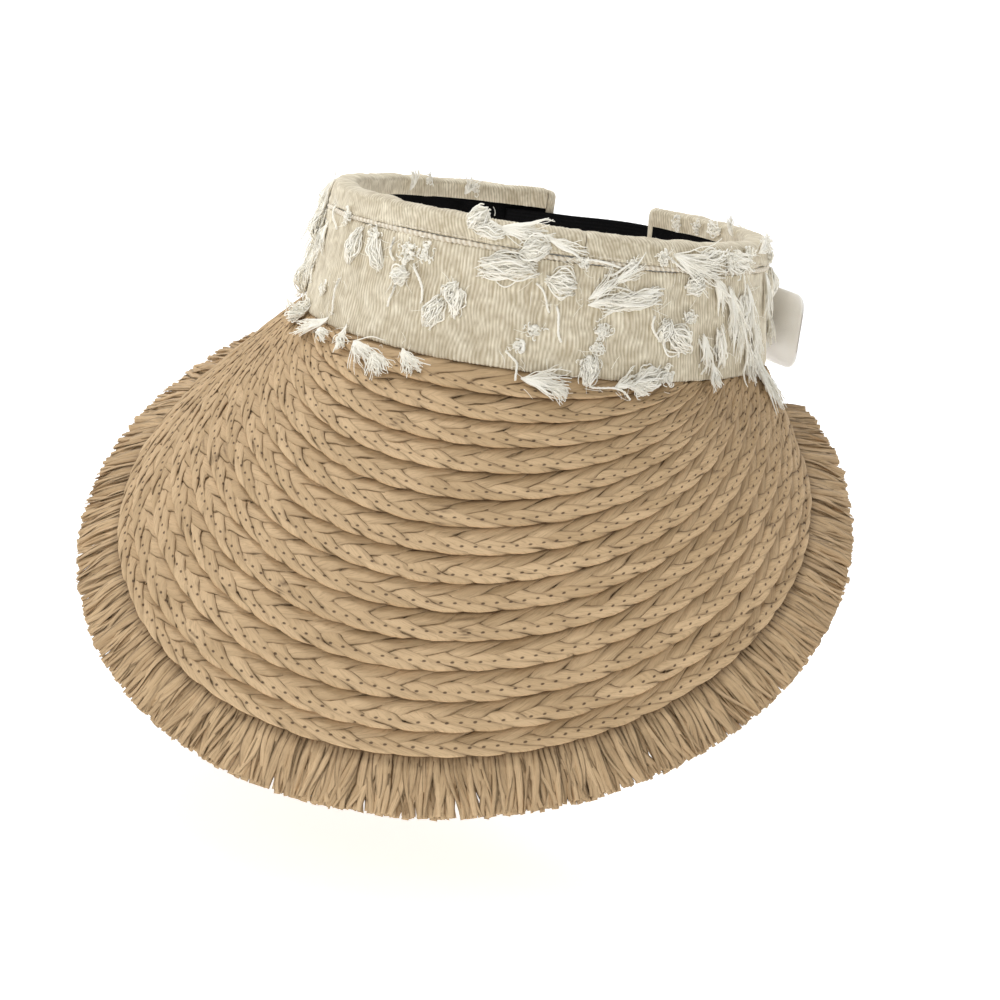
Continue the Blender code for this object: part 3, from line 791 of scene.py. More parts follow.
def make_face():
    """The crinkled cover: a thin gathered sheet whose ribs stand out from the band.

    Over the brim it reaches a little below the band's edge, as far round as the brim goes."""
    angle, s = columns_between(ARM_LEFT_DEG, ARM_RIGHT_DEG, 0.28 * MM)
    hang = FACE_SKIRT * np.clip((SKIRT_END_DEG - np.abs(np.degrees(angle))) / 10.0, 0.0, 1.0)[:, None]
    depth, z = layer_path(*FACE_LAYER, -hang, band_height(angle) - FACE_TOP_DROP, 24, 4)
    ribs = crinkle(s[:, None], z, 0.04, 21)
    swell = 0.45 * MM * cloud(s[:, None] / (13.0 * MM), z / (12.0 * MM), 25)
    outside = np.clip((1.15 * MM - depth) / (0.6 * MM), 0.0, 1.0)
    relief = outside * (0.50 * MM * ribs + swell)
    # The tone paints shade into the creases between the ribs.
    piece = wrap("crinkled_face", angle, s, depth, z, relief, 0.2 + 0.75 * ribs, cream)
    return finish_piece(piece, "visor", "cream_crinkle_fabric", "face_cover")


def make_hem(name, start, end, seed, node_name):
    """The folded hem: a ribbed outer leg, a plump rounded top and a short inner leg.

    Its section, in millimetres, is a straight line up, a half oval over the top, a straight line
    down and the smooth hollow inside, which doesn't show."""
    angle, s = columns_between(start, end, 0.30 * MM)
    arch = np.radians(np.linspace(8.0, 172.0, 9))
    hollow_depth = [7.0, 6.5, 6.5, 6.2, 1.6, 1.2, 1.2, 0.6]
    hollow_below = [-7.1, -6.8, -2.2, -1.35, -1.35, -2.2, -7.9, -8.3]
    depth = np.concatenate([np.zeros(9), 3.75 - 3.75 * np.cos(arch), np.full(6, 7.5), hollow_depth])
    below = np.concatenate([
        np.linspace(-8.0, -1.9, 9), -1.75 + 1.75 * np.sin(arch) ** 0.75, np.linspace(-1.9, -6.9, 6),
        hollow_below])
    depth = depth[None, :] * MM + 0.0 * angle[:, None]
    z = band_height(angle)[:, None] + below[None, :] * MM
    around = np.arange(depth.shape[1])[None, :] * 0.8 * MM
    ribs = crinkle(s[:, None], around, 0.35, seed)
    swell = 0.55 * MM * cloud(s[:, None] / (9.0 * MM), around / (6.0 * MM), seed + 9)
    open_side = np.concatenate([np.ones(24), np.full(8, 0.0)])[None, :]
    ends = np.clip(np.minimum(s, s[-1] - s) / (2.0 * MM), 0.25, 1.0)[:, None]
    relief = open_side * (0.42 * MM * ribs + swell + 0.1 * MM) * ends
    # The tone paints shade into the creases between the ribs.
    piece = wrap(name, angle, s, depth, z, relief, 0.2 + 0.75 * ribs, cream)
    return finish_piece(piece, "visor", "cream_crinkle_fabric", node_name)


def make_piping():
    """The welt: a covered cord whose cloth twists round it in small gathers."""
    angle, s = columns_between(ARM_LEFT_DEG, ARM_RIGHT_DEG, 0.45 * MM)
    turn = np.radians(np.arange(0, 360, 36))[None, :]
    wander = 2.0 * cloud(s[:, None] / (7.0 * MM), turn * 0.0, 71)
    twist = np.cos(2.0 * np.pi * s[:, None] / (2.3 * MM) + turn + wander)
    radius = 0.82 * MM + 0.14 * MM * twist + 0.1 * MM * cloud(s[:, None] / (3.0 * MM), turn, 72)
    dip = 0.25 * MM * cloud(s / (12.0 * MM), 0.0 * s, 73)[:, None]
    depth = 0.15 * MM - radius * np.cos(turn)
    z = band_height(angle)[:, None] - WELT_DROP + dip + radius * np.sin(turn)
    # The tone paints shade into the twist's gathers, where the cord is thinner.
    piece = wrap("welt_piping", angle, s, depth, z, 0.0 * depth, 0.55 + 0.4 * twist, piping_cotton)
    return finish_piece(piece, "visor", "cream_cord", "welt_cord")


def make_arm_end(name, arm_deg, node_name):
    """The cover turned in round the end of a rear arm, closing to a rounded edge."""
    count = 22
    part = np.sin(0.5 * np.pi * np.linspace(0.0, 1.0, count))
    degrees = arm_deg + np.sign(arm_deg) * (0.2 + 2.5 * part)
    angle = np.radians(degrees)
    inset = 2.7 * MM * (1.0 - np.sqrt(np.clip(1.0 - part ** 2, 0.0, 1.0)))
    height = band_height(angle)
    depth, z = layer_path(0.0, LINING_LAYER[1], 0.0, height, 30, 30)
    middle_depth, middle_z = LINING_LAYER[1] / 2.0, height[:, None] / 2.0
    depth = middle_depth + (depth - middle_depth) * (1.0 - inset[:, None] / middle_depth)
    z = middle_z + (z - middle_z) * (1.0 - inset[:, None] / (20.0 * MM))
    s = np.abs(degrees - arm_deg) * 1.6 * MM
    ribs = crinkle(s[:, None] + z * 0.3, z, 0.2, 88)
    # The tone paints shade into the creases between the ribs.
    piece = wrap(name, angle, s, depth, z, 0.25 * MM * ribs, 0.25 + 0.7 * ribs, cream)
    return finish_piece(piece, "visor", "cream_crinkle_fabric", node_name)


def make_lining():
    """The padded sweatband: knitted cloth, crowned towards the head and drawn in by a seam low down."""
    angle, s = columns_between(ARM_LEFT_DEG, ARM_RIGHT_DEG, 1.0 * MM)
    depth, z = layer_path(*LINING_LAYER, LINING_BOTTOM, band_height(angle) - LINING_TOP_DROP, 6, 30)
    share = (z - z.min(axis=1, keepdims=True)) / np.ptp(z, axis=1)[:, None]
    inside = np.clip((depth - 5.0 * MM) / (1.0 * MM), 0.0, 1.0)
    crown = 0.9 * MM * np.sin(np.pi * np.clip(share * 1.22, 0.0, 1.0)) ** 0.6
    crown = crown * np.clip((0.82 - share) * 12.0, 0.0, 1.0)
    seam = -0.7 * MM * np.exp(-((share - 0.12) / 0.025) ** 2)
    soft = 0.2 * MM * cloud(s[:, None] / (12.0 * MM), z / (8.0 * MM), 44)
    tone = 0.5 + 0.3 * cloud(s[:, None] / (6.0 * MM), z / (6.0 * MM), 45)
    piece = wrap("knit_lining", angle, s, depth, z, inside * (crown + seam + soft), tone, black_knit)
    return finish_piece(piece, "visor", "black_knit", "sweatband")


def make_binding():
    """The twill tape that covers the brim's raw edge inside the band."""
    angle, s = columns_between(-96.0, 96.0, 0.8 * MM)
    depth, z = layer_path(*TAPE_LAYER, -4.0 * MM, 0.0 * angle + 4.5 * MM, 8, 8)
    weave = 0.5 + 0.5 * np.cos(2.0 * np.pi * (s[:, None] + z) / (1.6 * MM))
    # The tone paints shade into the grooves between the twill's ridges.
    piece = wrap("seam_binding", angle, s, depth, z, 0.06 * MM * weave, 0.3 + 0.5 * weave, beige_twill)
    return finish_piece(piece, "visor", "beige_tape", "brim_seam_tape")


STRAP_INNER_DEPTH = 7.1 * MM
STRAP_OUTER_DEPTH = -3.9 * MM
STRAP_ROOT_DEG, STRAP_TIP_DEG = 208.0, 121.0
STRAP_MID_HEIGHT = 18.0 * MM
BEND_FROM_DEG, BEND_TO_DEG = 194.5, 188.5
TAB_DEG = 119.8
TAB_LEAN = np.radians(14.0)


def strap_depth(degrees):
    """The strap leaves the left arm's inner side and crosses over the right arm's outside."""
    share = np.clip((191.0 - degrees) / 22.0, 0.0, 1.0)
    return STRAP_INNER_DEPTH + (STRAP_OUTER_DEPTH - STRAP_INNER_DEPTH) * share * share * (3.0 - 2.0 * share)


def webbing(name, start, end, half, middle, bottom, top, nap):
    """Flat webbing that follows the band: elastic with fine lengthwise cords, or a napped patch.

    half is half its thickness, and middle gives the depth of its middle at an angle in degrees."""
    angle, s = columns_between(end, start, 0.5 * MM)
    depth, z = layer_path(-half, half, bottom, 0.0 * angle + top, 34, 34)
    depth = depth + middle(np.degrees(angle))[:, None]
    cords = 0.5 + 0.5 * np.cos(2.0 * np.pi * z / (1.5 * MM))
    every_other = np.pi * np.floor(z / (1.5 * MM))
    shirr = 0.5 + 0.5 * np.cos(2.0 * np.pi * s[:, None] / (1.9 * MM) + every_other)
    relief = 0.08 * MM * cords + 0.05 * MM * shirr
    if nap:
        relief = 0.13 * MM * (1.0 + cloud(s[:, None] / (0.9 * MM), z / (0.8 * MM), 61))
    # The tone paints shade into the grooves between the cords, and the napped patch takes the same stripes.
    piece = wrap(name, angle, s, depth, z, relief, 0.3 + 0.5 * cords, touch_nap if nap else black_elastic)
    return piece


def make_strap():
    """The elastic strap, sewn in the left arm; the points where it bends just past its root are found but
    not used.
    """
    strap = webbing(
        "strap_elastic", STRAP_ROOT_DEG, STRAP_TIP_DEG, 0.6 * MM, strap_depth, 5.5 * MM, 30.5 * MM, False)
    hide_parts("elastic_strap", "strap_root")
    bend = [tuple(band_point(np.radians(degrees), STRAP_INNER_DEPTH, STRAP_MID_HEIGHT))
            for degrees in (BEND_FROM_DEG, BEND_TO_DEG)]
    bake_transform(strap)


def make_patch(name, start, end, outer, inner, body, node_name):
    """One half of the touch fastening, between two depths of the band."""
    patch = webbing(
        name, start, end, (inner - outer) / 2.0, lambda degrees: 0.0 * degrees + (outer + inner) / 2.0,
        7.0 * MM, 29.0 * MM, True)
    finish_piece(patch, body, "touch_fastener", node_name)


def make_grip():
    """The felt grip tab: a soft slab with round corners, pressed along a line near its fold."""
    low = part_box("grip_tab")[0]
    turn = np.radians(TAB_DEG)
    hinge = band_point(turn, STRAP_OUTER_DEPTH, STRAP_MID_HEIGHT) * np.array([1.0, 1.0, 0.0])
    ahead = -np.array([BAND_HALF_WIDTH * np.cos(turn), BAND_HALF_DEPTH * np.sin(turn), 0.0])
    ahead = ahead / np.linalg.norm(ahead)
    outward = np.array([-ahead[1], ahead[0], 0.0])
    along = np.cos(TAB_LEAN) * ahead + np.sin(TAB_LEAN) * outward
    across = np.array([-along[1], along[0], 0.0])
    length, height, corner, half = 29.0 * MM, 28.0 * MM, 6.0 * MM, 0.7 * MM
    u = np.linspace(0.0, 1.0, 60)
    x = 0.6 * MM + (length - 0.6 * MM) * u
    over = np.clip(x - (length - corner), 0.0, corner)
    trim = corner - np.sqrt(np.maximum(corner ** 2 - over ** 2, 0.0))
    v = np.concatenate([np.linspace(0.0, 1.0, 40), np.linspace(1.0, 0.0, 40)])
    face = np.concatenate([np.ones(40), -np.ones(40)])
    edge = 1.0 - np.abs(2.0 * v - 1.0) ** 14
    tip = np.clip((length - x) / (0.8 * MM), 0.0, 1.0) ** 0.5
    y = trim[:, None] + (height - 2.0 * trim[:, None]) * v[None, :]
    puff = 0.12 * MM * cloud(x[:, None] / (5.0 * MM), y / (5.0 * MM), 91)
    press = 0.25 * MM * np.exp(-((x - 4.0 * MM) / (0.6 * MM)) ** 2)[:, None]
    thick = (half * (0.35 + 0.65 * edge[None, :]) + puff) * tip[:, None] - press
    thick = face[None, :] * thick
    verts = hinge + along * x[:, None, None] + across * thick[..., None]
    verts[..., 2] = low[2] + y
    uv = np.stack(np.broadcast_arrays(x[:, None], y), axis=-1)
    # The tone paints shade along the pressed line, over a random tone.
    tone = 0.6 + 0.3 * cloud(x[:, None] / (3.0 * MM), y / (3.0 * MM), 92) - press / MM
    faces = tube_faces(1, *verts.shape[:2])
    piece = make_mesh("grip_felt", verts, faces, pale_felt, uvs={"cloth": uv}, values={"tone": tone})
    return finish_piece(piece, "tab", "grey_felt", "grip_tab")


make_face()
make_hem("hem_left", ARM_LEFT_DEG, HEM_SEAM_DEG - 0.1, 31, "top_hem_left")
make_hem("hem_right", HEM_SEAM_DEG + 0.1, ARM_RIGHT_DEG, 36, "top_hem_right")
make_piping()
make_arm_end("arm_end_left", ARM_LEFT_DEG, "end_fold_left")
make_arm_end("arm_end_right", ARM_RIGHT_DEG, "end_fold_right")
make_lining()
make_binding()
make_strap()
make_patch("loop_fastener", 159.0, 130.0, -1.5 * MM, -0.3 * MM, "visor", "loop_patch")
make_patch("hook_fastener", 149.0, 125.0, -3.0 * MM, -1.8 * MM, "strap", "hook_patch")
make_grip()
for slot in bpy.data.objects["band_stiffener"].material_slots:
    slot.material = board

# ------------------------------------------------------------------------------ clipped yarns

BAND_RADIUS = 90.0 * MM
YARN_LIFT = 2.2 * MM
FIBRE_SECTIONS = 11
FIBRE_POINTS = 4
BAND_THICKNESS = 8.2 * MM


def skin(angle, v, out):
    """Points over the visor. v is the height above the band's lower edge or, where it is negative,
    the distance out along the brim; out is the height above the surface."""
    band = band_point(angle, -out, v)
    place = np.clip(np.degrees(angle) / BRIM_BAND_DEG, -1.0, 1.0)
    root, edge = brim_root(place), brim_edge(place)
    span = edge - root
    size = np.linalg.norm(span, axis=-1)
    part = (3.0 * MM + np.maximum(-v, 0.0)) / size
    normal = unit(np.cross(span, brim_edge(place + 0.01) - brim_edge(place - 0.01)))
    above = brim_bulge(part, size) + YARN_LIFT + out
    brim = root + span * part[..., None] + normal * above[..., None]
    share = (np.clip(-v / (2.0 * MM), 0.0, 1.0) * (np.abs(place) < 1.0))[..., None]
    return band * (1.0 - share) + brim * share


def tubes(paths, radius, points=FIBRE_POINTS):
    """Closed round tubes along paths [tube, section, xyz] with a radius for each section."""
    tangent = unit(np.gradient(paths, axis=1))
    side = unit(np.cross(tangent, np.array([0.31, 0.22, 0.92])))
    up = np.cross(side, tangent)
    turn = np.linspace(0.0, 2.0 * np.pi, points, endpoint=False)[:, None]
    ring = side[:, :, None] * np.cos(turn) + up[:, :, None] * np.sin(turn)
    return paths[:, :, None] + ring * radius[:, :, None, None]


def tuft(rng, kind, degrees, height, lean_deg, length, spread, fibres, inside=False):
    """One clipped yarn as fibres in (along the band, up, outwards), placed at an angle and height.

    puff: a loose spindle of long loops. tail: held at its root and brushed out to its tip.
    knot: small loops heaped together. cord: three yarns twisted about a wandering line."""
    t = np.linspace(0.0, 1.0, FIBRE_SECTIONS)[None, :]
    length, spread = length * MM, spread * MM
    p = rng.normal(0.0, 0.55, (fibres, 1))
    o = np.abs(rng.normal(0.0, 0.55, (fibres, 1)))
    reach = rng.uniform(0.62, 1.08, (fibres, 1))
    start = rng.uniform(-0.16, 0.16, (fibres, 1))
    waves = rng.uniform(0.5, 2.2, (fibres, 1))
    phase = rng.uniform(0.0, 2.0 * np.pi, (fibres, 1))
    curl = np.sin(2.0 * np.pi * waves * t + phase)
    roll = np.cos(2.0 * np.pi * waves * t * 0.8 + 2.0 * phase)
    askew = rng.normal(0.0, 0.16, (fibres, 1))
    core = (np.arange(fibres)[:, None] < fibres // 6) & (kind != "cord")
    p, o = np.where(core, 0.45 * p, p), np.where(core, 0.3 * o, o)
    fatness = np.where(core, 3.4 * np.sin(np.pi * np.clip(t, 0.04, 0.96)) ** 0.6, 1.0)
    if kind == "puff":
        swell = np.sin(np.pi * np.clip(t * 0.9 + 0.05, 0.0, 1.0)) ** 0.55
        x = length * (t - 0.5 + start) * reach
        y = 1.25 * spread * p * swell + 0.45 * MM * curl + askew * x
        z = 0.3 * MM + spread * 1.15 * o * swell + 0.3 * MM * (1.0 + roll)
        thick = 0.30 * MM * (0.5 + 0.5 * swell)
    elif kind == "tail":
        opening = t ** 1.1
        x = length * t * reach
        y = spread * p * opening + 0.7 * MM * curl * t + askew * x
        z = 0.4 * MM + spread * 0.9 * o * opening + 0.9 * MM * np.sin(np.pi * t)
        z = z + 0.4 * MM * (1.0 + roll) * t
        thick = 0.25 * MM * (1.15 - 0.6 * t)
    elif kind == "knot":
        loop = length * rng.uniform(0.05, 0.26, (fibres, 1))
        spin = phase + 2.0 * np.pi * rng.uniform(0.3, 0.7, (fibres, 1)) * t
        tip_up = rng.uniform(-1.0, 1.0, (fibres, 1))
        stretch = rng.uniform(0.4, 1.3, (fibres, 1))
        x = spread * p + loop * stretch * np.cos(spin)
        y = spread * rng.normal(0.0, 0.5, (fibres, 1))
        y = y + loop * np.sin(spin) * np.sqrt(1.0 - 0.6 * tip_up ** 2)
        z = 0.6 * MM + spread * 0.5 * o + 0.4 * loop * (1.0 + tip_up * np.sin(spin + 0.8))
        thick = 0.23 * MM
    else:
        strand = np.arange(fibres)[:, None] * 2.0 * np.pi / fibres
        twist = strand + 2.0 * np.pi * length / (4.2 * MM) * t
        bendy = spread * np.sin(np.pi * t * 1.3 + phase[0, 0]) * 0.6
        x = length * t
        y = bendy + 0.27 * MM * np.cos(twist)
        z = 0.55 * MM + 0.27 * MM * np.sin(twist) + 0.9 * MM * np.sin(np.pi * t)
        thick = 0.27 * MM
    lean = np.radians(lean_deg)
    u = x * np.cos(lean) - y * np.sin(lean)
    v = x * np.sin(lean) + y * np.cos(lean)
    thick = thick * fatness + 0.0 * u
    z = -BAND_THICKNESS - z if inside else z
    paths = skin(np.radians(degrees) + u / BAND_RADIUS, height * MM + v, z)
    return paths, thick * rng.uniform(0.7, 1.2, (fibres, 1))


def fuzz(rng, degrees, height, size):
    """Fine stray hairs round one clipped yarn, each a short random curve."""
    count = 4
    t = np.linspace(0.0, 1.0, FIBRE_SECTIONS)[None, :]
    heading = rng.uniform(0.0, 2.0 * np.pi, (count, 1)) + rng.normal(0.0, 0.7, (count, 1)) * t
    step = size * MM * rng.uniform(0.5, 1.3, (count, 1)) / FIBRE_SECTIONS
    u = rng.normal(0.0, size * 0.3 * MM, (count, 1)) + np.cumsum(np.cos(heading), axis=1) * step
    v = rng.normal(0.0, size * 0.3 * MM, (count, 1)) + np.cumsum(np.sin(heading), axis=1) * step
    z = 0.5 * MM + rng.uniform(0.5, 3.0, (count, 1)) * MM * t ** 0.8
    paths = skin(np.radians(degrees) + u / BAND_RADIUS, height * MM + v, z)
    return paths, (0.11 - 0.05 * t) * MM + 0.0 * u


def yarn_piece(name, seed, density, tufts, inside=False):
    """Many tufts as one piece of fine closed tubes, outside the band or inside it."""
    rng = np.random.default_rng(seed)
    made = [tuft(rng, *row[:6], int(row[6] * density), inside) for row in tufts]
    made = made + [fuzz(rng, row[1], row[2], 5.0) for row in tufts if not inside]
    paths = np.concatenate([m[0] for m in made])
    radius = np.concatenate([m[1] for m in made])
    verts = tubes(paths, radius)
    count = len(paths)
    around = np.arange(FIBRE_POINTS)[None, None, :] * 0.35 * MM
    along = np.arange(FIBRE_SECTIONS)[None, :, None] * 0.9 * MM + 0.01 * np.arange(count)[:, None, None]
    uv = np.stack(np.broadcast_arrays(around, along), axis=-1)
    tone = np.broadcast_to(rng.uniform(0.25, 1.0, (count, 1, 1)), verts.shape[:3])
    faces = tube_faces(count, FIBRE_SECTIONS, FIBRE_POINTS)
    piece = make_mesh(name, verts, faces, yarn_cotton, uvs={"cloth": uv}, values={"tone": tone})
    return finish_piece(piece, "visor", "cream_cord")


# Each row: kind, angle round the band, height, lean, length, spread, fibres.
yarn_piece("yarn_puffs", 501, 2.8, [
    ("puff", -40.0, 27.0, 80.0, 11.0, 2.6, 30), ("puff", -31.0, 27.0, 125.0, 10.5, 2.4, 28),
    ("puff", 5.0, 31.0, 4.0, 18.0, 3.2, 46), ("puff", 11.0, 38.5, 10.0, 9.5, 2.6, 28),
    ("puff", 18.0, 28.5, 0.0, 9.0, 3.0, 34), ("puff", -11.0, 12.0, 70.0, 9.0, 2.6, 30),
    ("puff", 36.0, 25.0, 12.0, 21.0, 1.9, 30), ("puff", 49.0, 12.0, 140.0, 10.0, 3.0, 32),
    ("puff", 63.0, 9.0, 100.0, 12.0, 1.8, 22), ("puff", -4.0, 46.0, 40.0, 8.0, 3.0, 34),
    ("puff", 41.0, -1.0, 20.0, 10.0, 2.6, 28), ("puff", -60.0, -3.0, 30.0, 9.0, 3.0, 32),
    ("puff", 58.0, 40.0, 5.0, 14.0, 2.2, 24), ("puff", -6.0, 17.0, 95.0, 9.0, 2.0, 22),
    ("puff", -120.0, 22.0, 60.0, 11.0, 2.6, 26), ("puff", 128.0, 36.0, 10.0, 12.0, 2.6, 26),
    ("puff", -148.0, 30.0, 20.0, 10.0, 2.4, 24), ("puff", 100.0, 26.0, 90.0, 10.0, 2.4, 24),
    ("puff", -69.0, 26.0, 85.0, 11.0, 3.2, 34), ("puff", -73.0, 6.0, 95.0, 10.0, 3.4, 34),
    ("puff", -22.0, 21.5, 15.0, 6.5, 2.4, 24), ("puff", 53.0, 30.5, 20.0, 7.0, 2.4, 24),
    ("puff", 70.0, 38.5, 350.0, 15.0, 2.6, 30), ("puff", 27.0, 1.0, 80.0, 7.0, 2.2, 22),
    ("puff", 45.0, 15.0, 60.0, 7.0, 2.2, 20), ("puff", 72.0, 20.0, 80.0, 11.0, 2.2, 22),
    ("puff", -8.0, 20.5, 60.0, 6.0, 2.0, 18), ("puff", 0.0, 42.5, 5.0, 9.0, 2.2, 20)])
yarn_piece("yarn_tails", 502, 1.8, [
    ("tail", -44.0, 0.0, 212.0, 14.0, 2.6, 24), ("tail", -45.0, -3.0, 350.0, 10.0, 2.6, 20),
    ("tail", -31.0, -2.0, 335.0, 15.0, 3.0, 34), ("tail", -24.0, -4.0, 318.0, 12.0, 3.4, 28),
    ("tail", 12.0, -2.5, 352.0, 16.0, 2.6, 34), ("tail", 18.0, -4.0, 325.0, 9.0, 2.8, 18),
    ("tail", 1.0, 43.5, 4.0, 21.0, 2.2, 16), ("tail", 13.0, 43.0, 350.0, 17.0, 1.6, 10),
    ("tail", 25.0, 24.0, 40.0, 14.0, 1.8, 10), ("tail", 25.0, 22.0, 15.0, 12.0, 2.0, 10),
    ("tail", 30.0, 30.0, 25.0, 16.0, 1.5, 9), ("tail", 46.0, 41.0, 340.0, 20.0, 3.0, 22),
    ("tail", 48.0, 38.0, 355.0, 24.0, 3.4, 18), ("tail", 60.0, 34.0, 300.0, 14.0, 2.4, 16),
    ("tail", 66.0, 30.0, 285.0, 18.0, 3.2, 22), ("tail", 70.0, 24.0, 280.0, 19.0, 3.4, 24),
    ("tail", 75.0, 30.0, 275.0, 20.0, 3.0, 22), ("tail", 79.0, 18.0, 278.0, 19.0, 3.0, 26),
    ("tail", 83.0, 6.0, 276.0, 22.0, 2.6, 34), ("tail", 82.0, 40.0, 20.0, 10.0, 2.0, 14),
    ("tail", 57.0, 14.0, 285.0, 13.0, 2.2, 16), ("tail", 60.0, 4.0, 290.0, 8.0, 2.4, 14),
    ("tail", -70.0, 38.0, 262.0, 14.0, 2.8, 20), ("tail", -77.0, 30.0, 275.0, 15.0, 3.0, 22),
    ("tail", -66.0, 20.0, 268.0, 13.0, 2.4, 18), ("tail", -84.0, 20.0, 265.0, 15.0, 3.0, 22),
    ("tail", -80.0, 10.0, 280.0, 12.0, 3.0, 18), ("tail", -96.0, 34.0, 270.0, 15.0, 3.0, 20),
    ("tail", -74.0, 42.0, 265.0, 15.0, 4.0, 30), ("tail", -79.0, 34.0, 262.0, 16.0, 4.0, 32),
    ("tail", -76.0, 24.0, 270.0, 16.0, 4.0, 30), ("tail", -83.0, 13.0, 255.0, 12.0, 4.0, 26),
    ("tail", -68.0, 44.0, 250.0, 12.0, 3.5, 24), ("tail", -60.0, 30.0, 280.0, 12.0, 2.4, 18),
    ("tail", 84.0, 44.0, 350.0, 9.0, 3.0, 20), ("tail", 76.0, 10.0, 272.0, 14.0, 3.0, 22),
    ("tail", -17.0, -1.0, 320.0, 12.0, 3.0, 26), ("tail", -36.0, 0.0, 305.0, 9.0, 2.6, 20),
    ("tail", 36.0, -1.0, 325.0, 9.0, 2.4, 18), ("tail", 33.0, -3.0, 20.0, 9.0, 2.0, 12),
    ("tail", 90.0, 32.0, 272.0, 16.0, 3.0, 18), ("tail", 106.0, 16.0, 265.0, 14.0, 3.0, 18),
    ("tail", 150.0, 26.0, 250.0, 13.0, 3.0, 16), ("tail", -155.0, 16.0, 280.0, 12.0, 3.0, 16),
    ("tail", -104.0, 12.0, 265.0, 12.0, 3.0, 16), ("tail", -130.0, 10.0, 300.0, 13.0, 3.0, 18)])
yarn_piece("yarn_cords", 503, 1.0, [
    ("cord", -56.0, 38.0, 300.0, 11.0, 3.0, 3), ("cord", -18.0, 27.0, 290.0, 14.0, 3.0, 3),
    ("cord", -43.0, 14.0, 268.0, 13.0, 1.5, 3), ("cord", -23.0, 19.0, 265.0, 9.0, 1.0, 3),
    ("cord", 12.0, 27.0, 312.0, 11.0, 2.0, 3), ("cord", 17.0, 20.0, 295.0, 12.0, 2.0, 3),
    ("cord", 42.0, 20.0, 280.0, 9.0, 3.0, 3), ("cord", 45.0, 16.0, 310.0, 12.0, 3.0, 3),
    ("cord", 28.0, -1.0, 330.0, 15.0, 4.0, 3), ("cord", 8.0, 4.0, 300.0, 9.0, 2.0, 3),
    ("cord", 21.0, 37.0, 356.0, 18.0, 1.2, 3), ("cord", 44.0, 39.0, 350.0, 26.0, 4.0, 3),
    ("cord", 57.0, 12.0, 265.0, 12.0, 4.0, 3), ("cord", -62.0, 17.0, 268.0, 10.0, 1.5, 3),
    ("cord", -74.0, 34.0, 280.0, 16.0, 3.0, 3), ("cord", 73.0, 36.0, 250.0, 16.0, 4.0, 3),
    ("cord", 28.0, 34.0, 10.0, 14.0, 3.0, 3), ("cord", -27.0, 33.0, 300.0, 8.0, 2.0, 3),
    ("cord", 111.0, 30.0, 280.0, 15.0, 3.0, 3), ("cord", -112.0, 30.0, 255.0, 14.0, 3.0, 3),
    ("cord", 145.0, 30.0, 320.0, 13.0, 3.0, 3), ("cord", -140.0, 28.0, 240.0, 13.0, 3.0, 3)])
yarn_piece("yarn_knots", 504, 2.8, [
    ("knot", -22.0, 21.0, 0.0, 4.6, 2.0, 18), ("knot", -21.0, 30.0, 0.0, 4.5, 3.6, 24),
    ("knot", -16.0, 31.0, 0.0, 4.0, 3.0, 18), ("knot", 26.0, 2.0, 0.0, 4.5, 2.2, 16),
    ("knot", 10.0, 6.0, 90.0, 4.5, 1.8, 14), ("knot", 29.0, 14.0, 90.0, 4.5, 2.6, 24),
    ("knot", 28.0, 8.0, 90.0, 4.0, 2.0, 16), ("knot", 53.0, 31.0, 0.0, 5.0, 2.2, 18),
    ("knot", 46.0, 1.0, 0.0, 5.5, 2.2, 18), ("knot", 66.0, 38.0, 0.0, 5.5, 3.6, 26),
    ("knot", 43.0, 40.0, 0.0, 5.0, 2.4, 18), ("knot", 74.0, 40.0, 0.0, 5.0, 3.4, 22),
    ("knot", -33.0, 32.0, 0.0, 4.5, 3.0, 18), ("knot", -46.0, 35.0, 0.0, 4.5, 2.6, 16),
    ("knot", -72.0, 12.0, 0.0, 5.0, 3.0, 20), ("knot", -76.0, 24.0, 0.0, 5.0, 3.0, 20),
    ("knot", 23.0, 36.0, 0.0, 3.6, 1.8, 12), ("knot", 35.0, 37.0, 0.0, 3.6, 2.0, 12),
    ("knot", 112.0, 38.0, 0.0, 5.0, 3.0, 20), ("knot", -90.0, 30.0, 0.0, 5.0, 3.0, 20),
    ("knot", -128.0, 32.0, 0.0, 5.0, 3.0, 20), ("knot", 94.0, 38.0, 0.0, 5.0, 3.0, 20),
    ("knot", 13.0, 11.0, 0.0, 3.6, 2.4, 12), ("knot", 52.0, 20.0, 0.0, 4.0, 2.4, 14),
    ("knot", -50.0, 8.0, 0.0, 4.0, 2.0, 14), ("knot", 70.0, 14.0, 0.0, 4.5, 2.8, 18)])


yarn_piece("yarn_inside", 505, 1.6, [
    ("tail", -116.0, 36.0, 75.0, 8.0, 2.6, 16), ("tail", -137.0, 35.0, 100.0, 7.0, 3.0, 16),
    ("knot", -122.0, 40.0, 0.0, 4.0, 2.4, 14), ("knot", -140.0, 37.0, 0.0, 4.0, 2.4, 14),
    ("knot", 150.0, 36.0, 0.0, 4.5, 2.6, 18), ("puff", 132.0, 38.0, 0.0, 9.0, 2.2, 18),
    ("tail", 120.0, 38.0, 100.0, 7.0, 3.0, 16), ("knot", 141.0, 37.0, 0.0, 4.0, 2.6, 16)], inside=True)


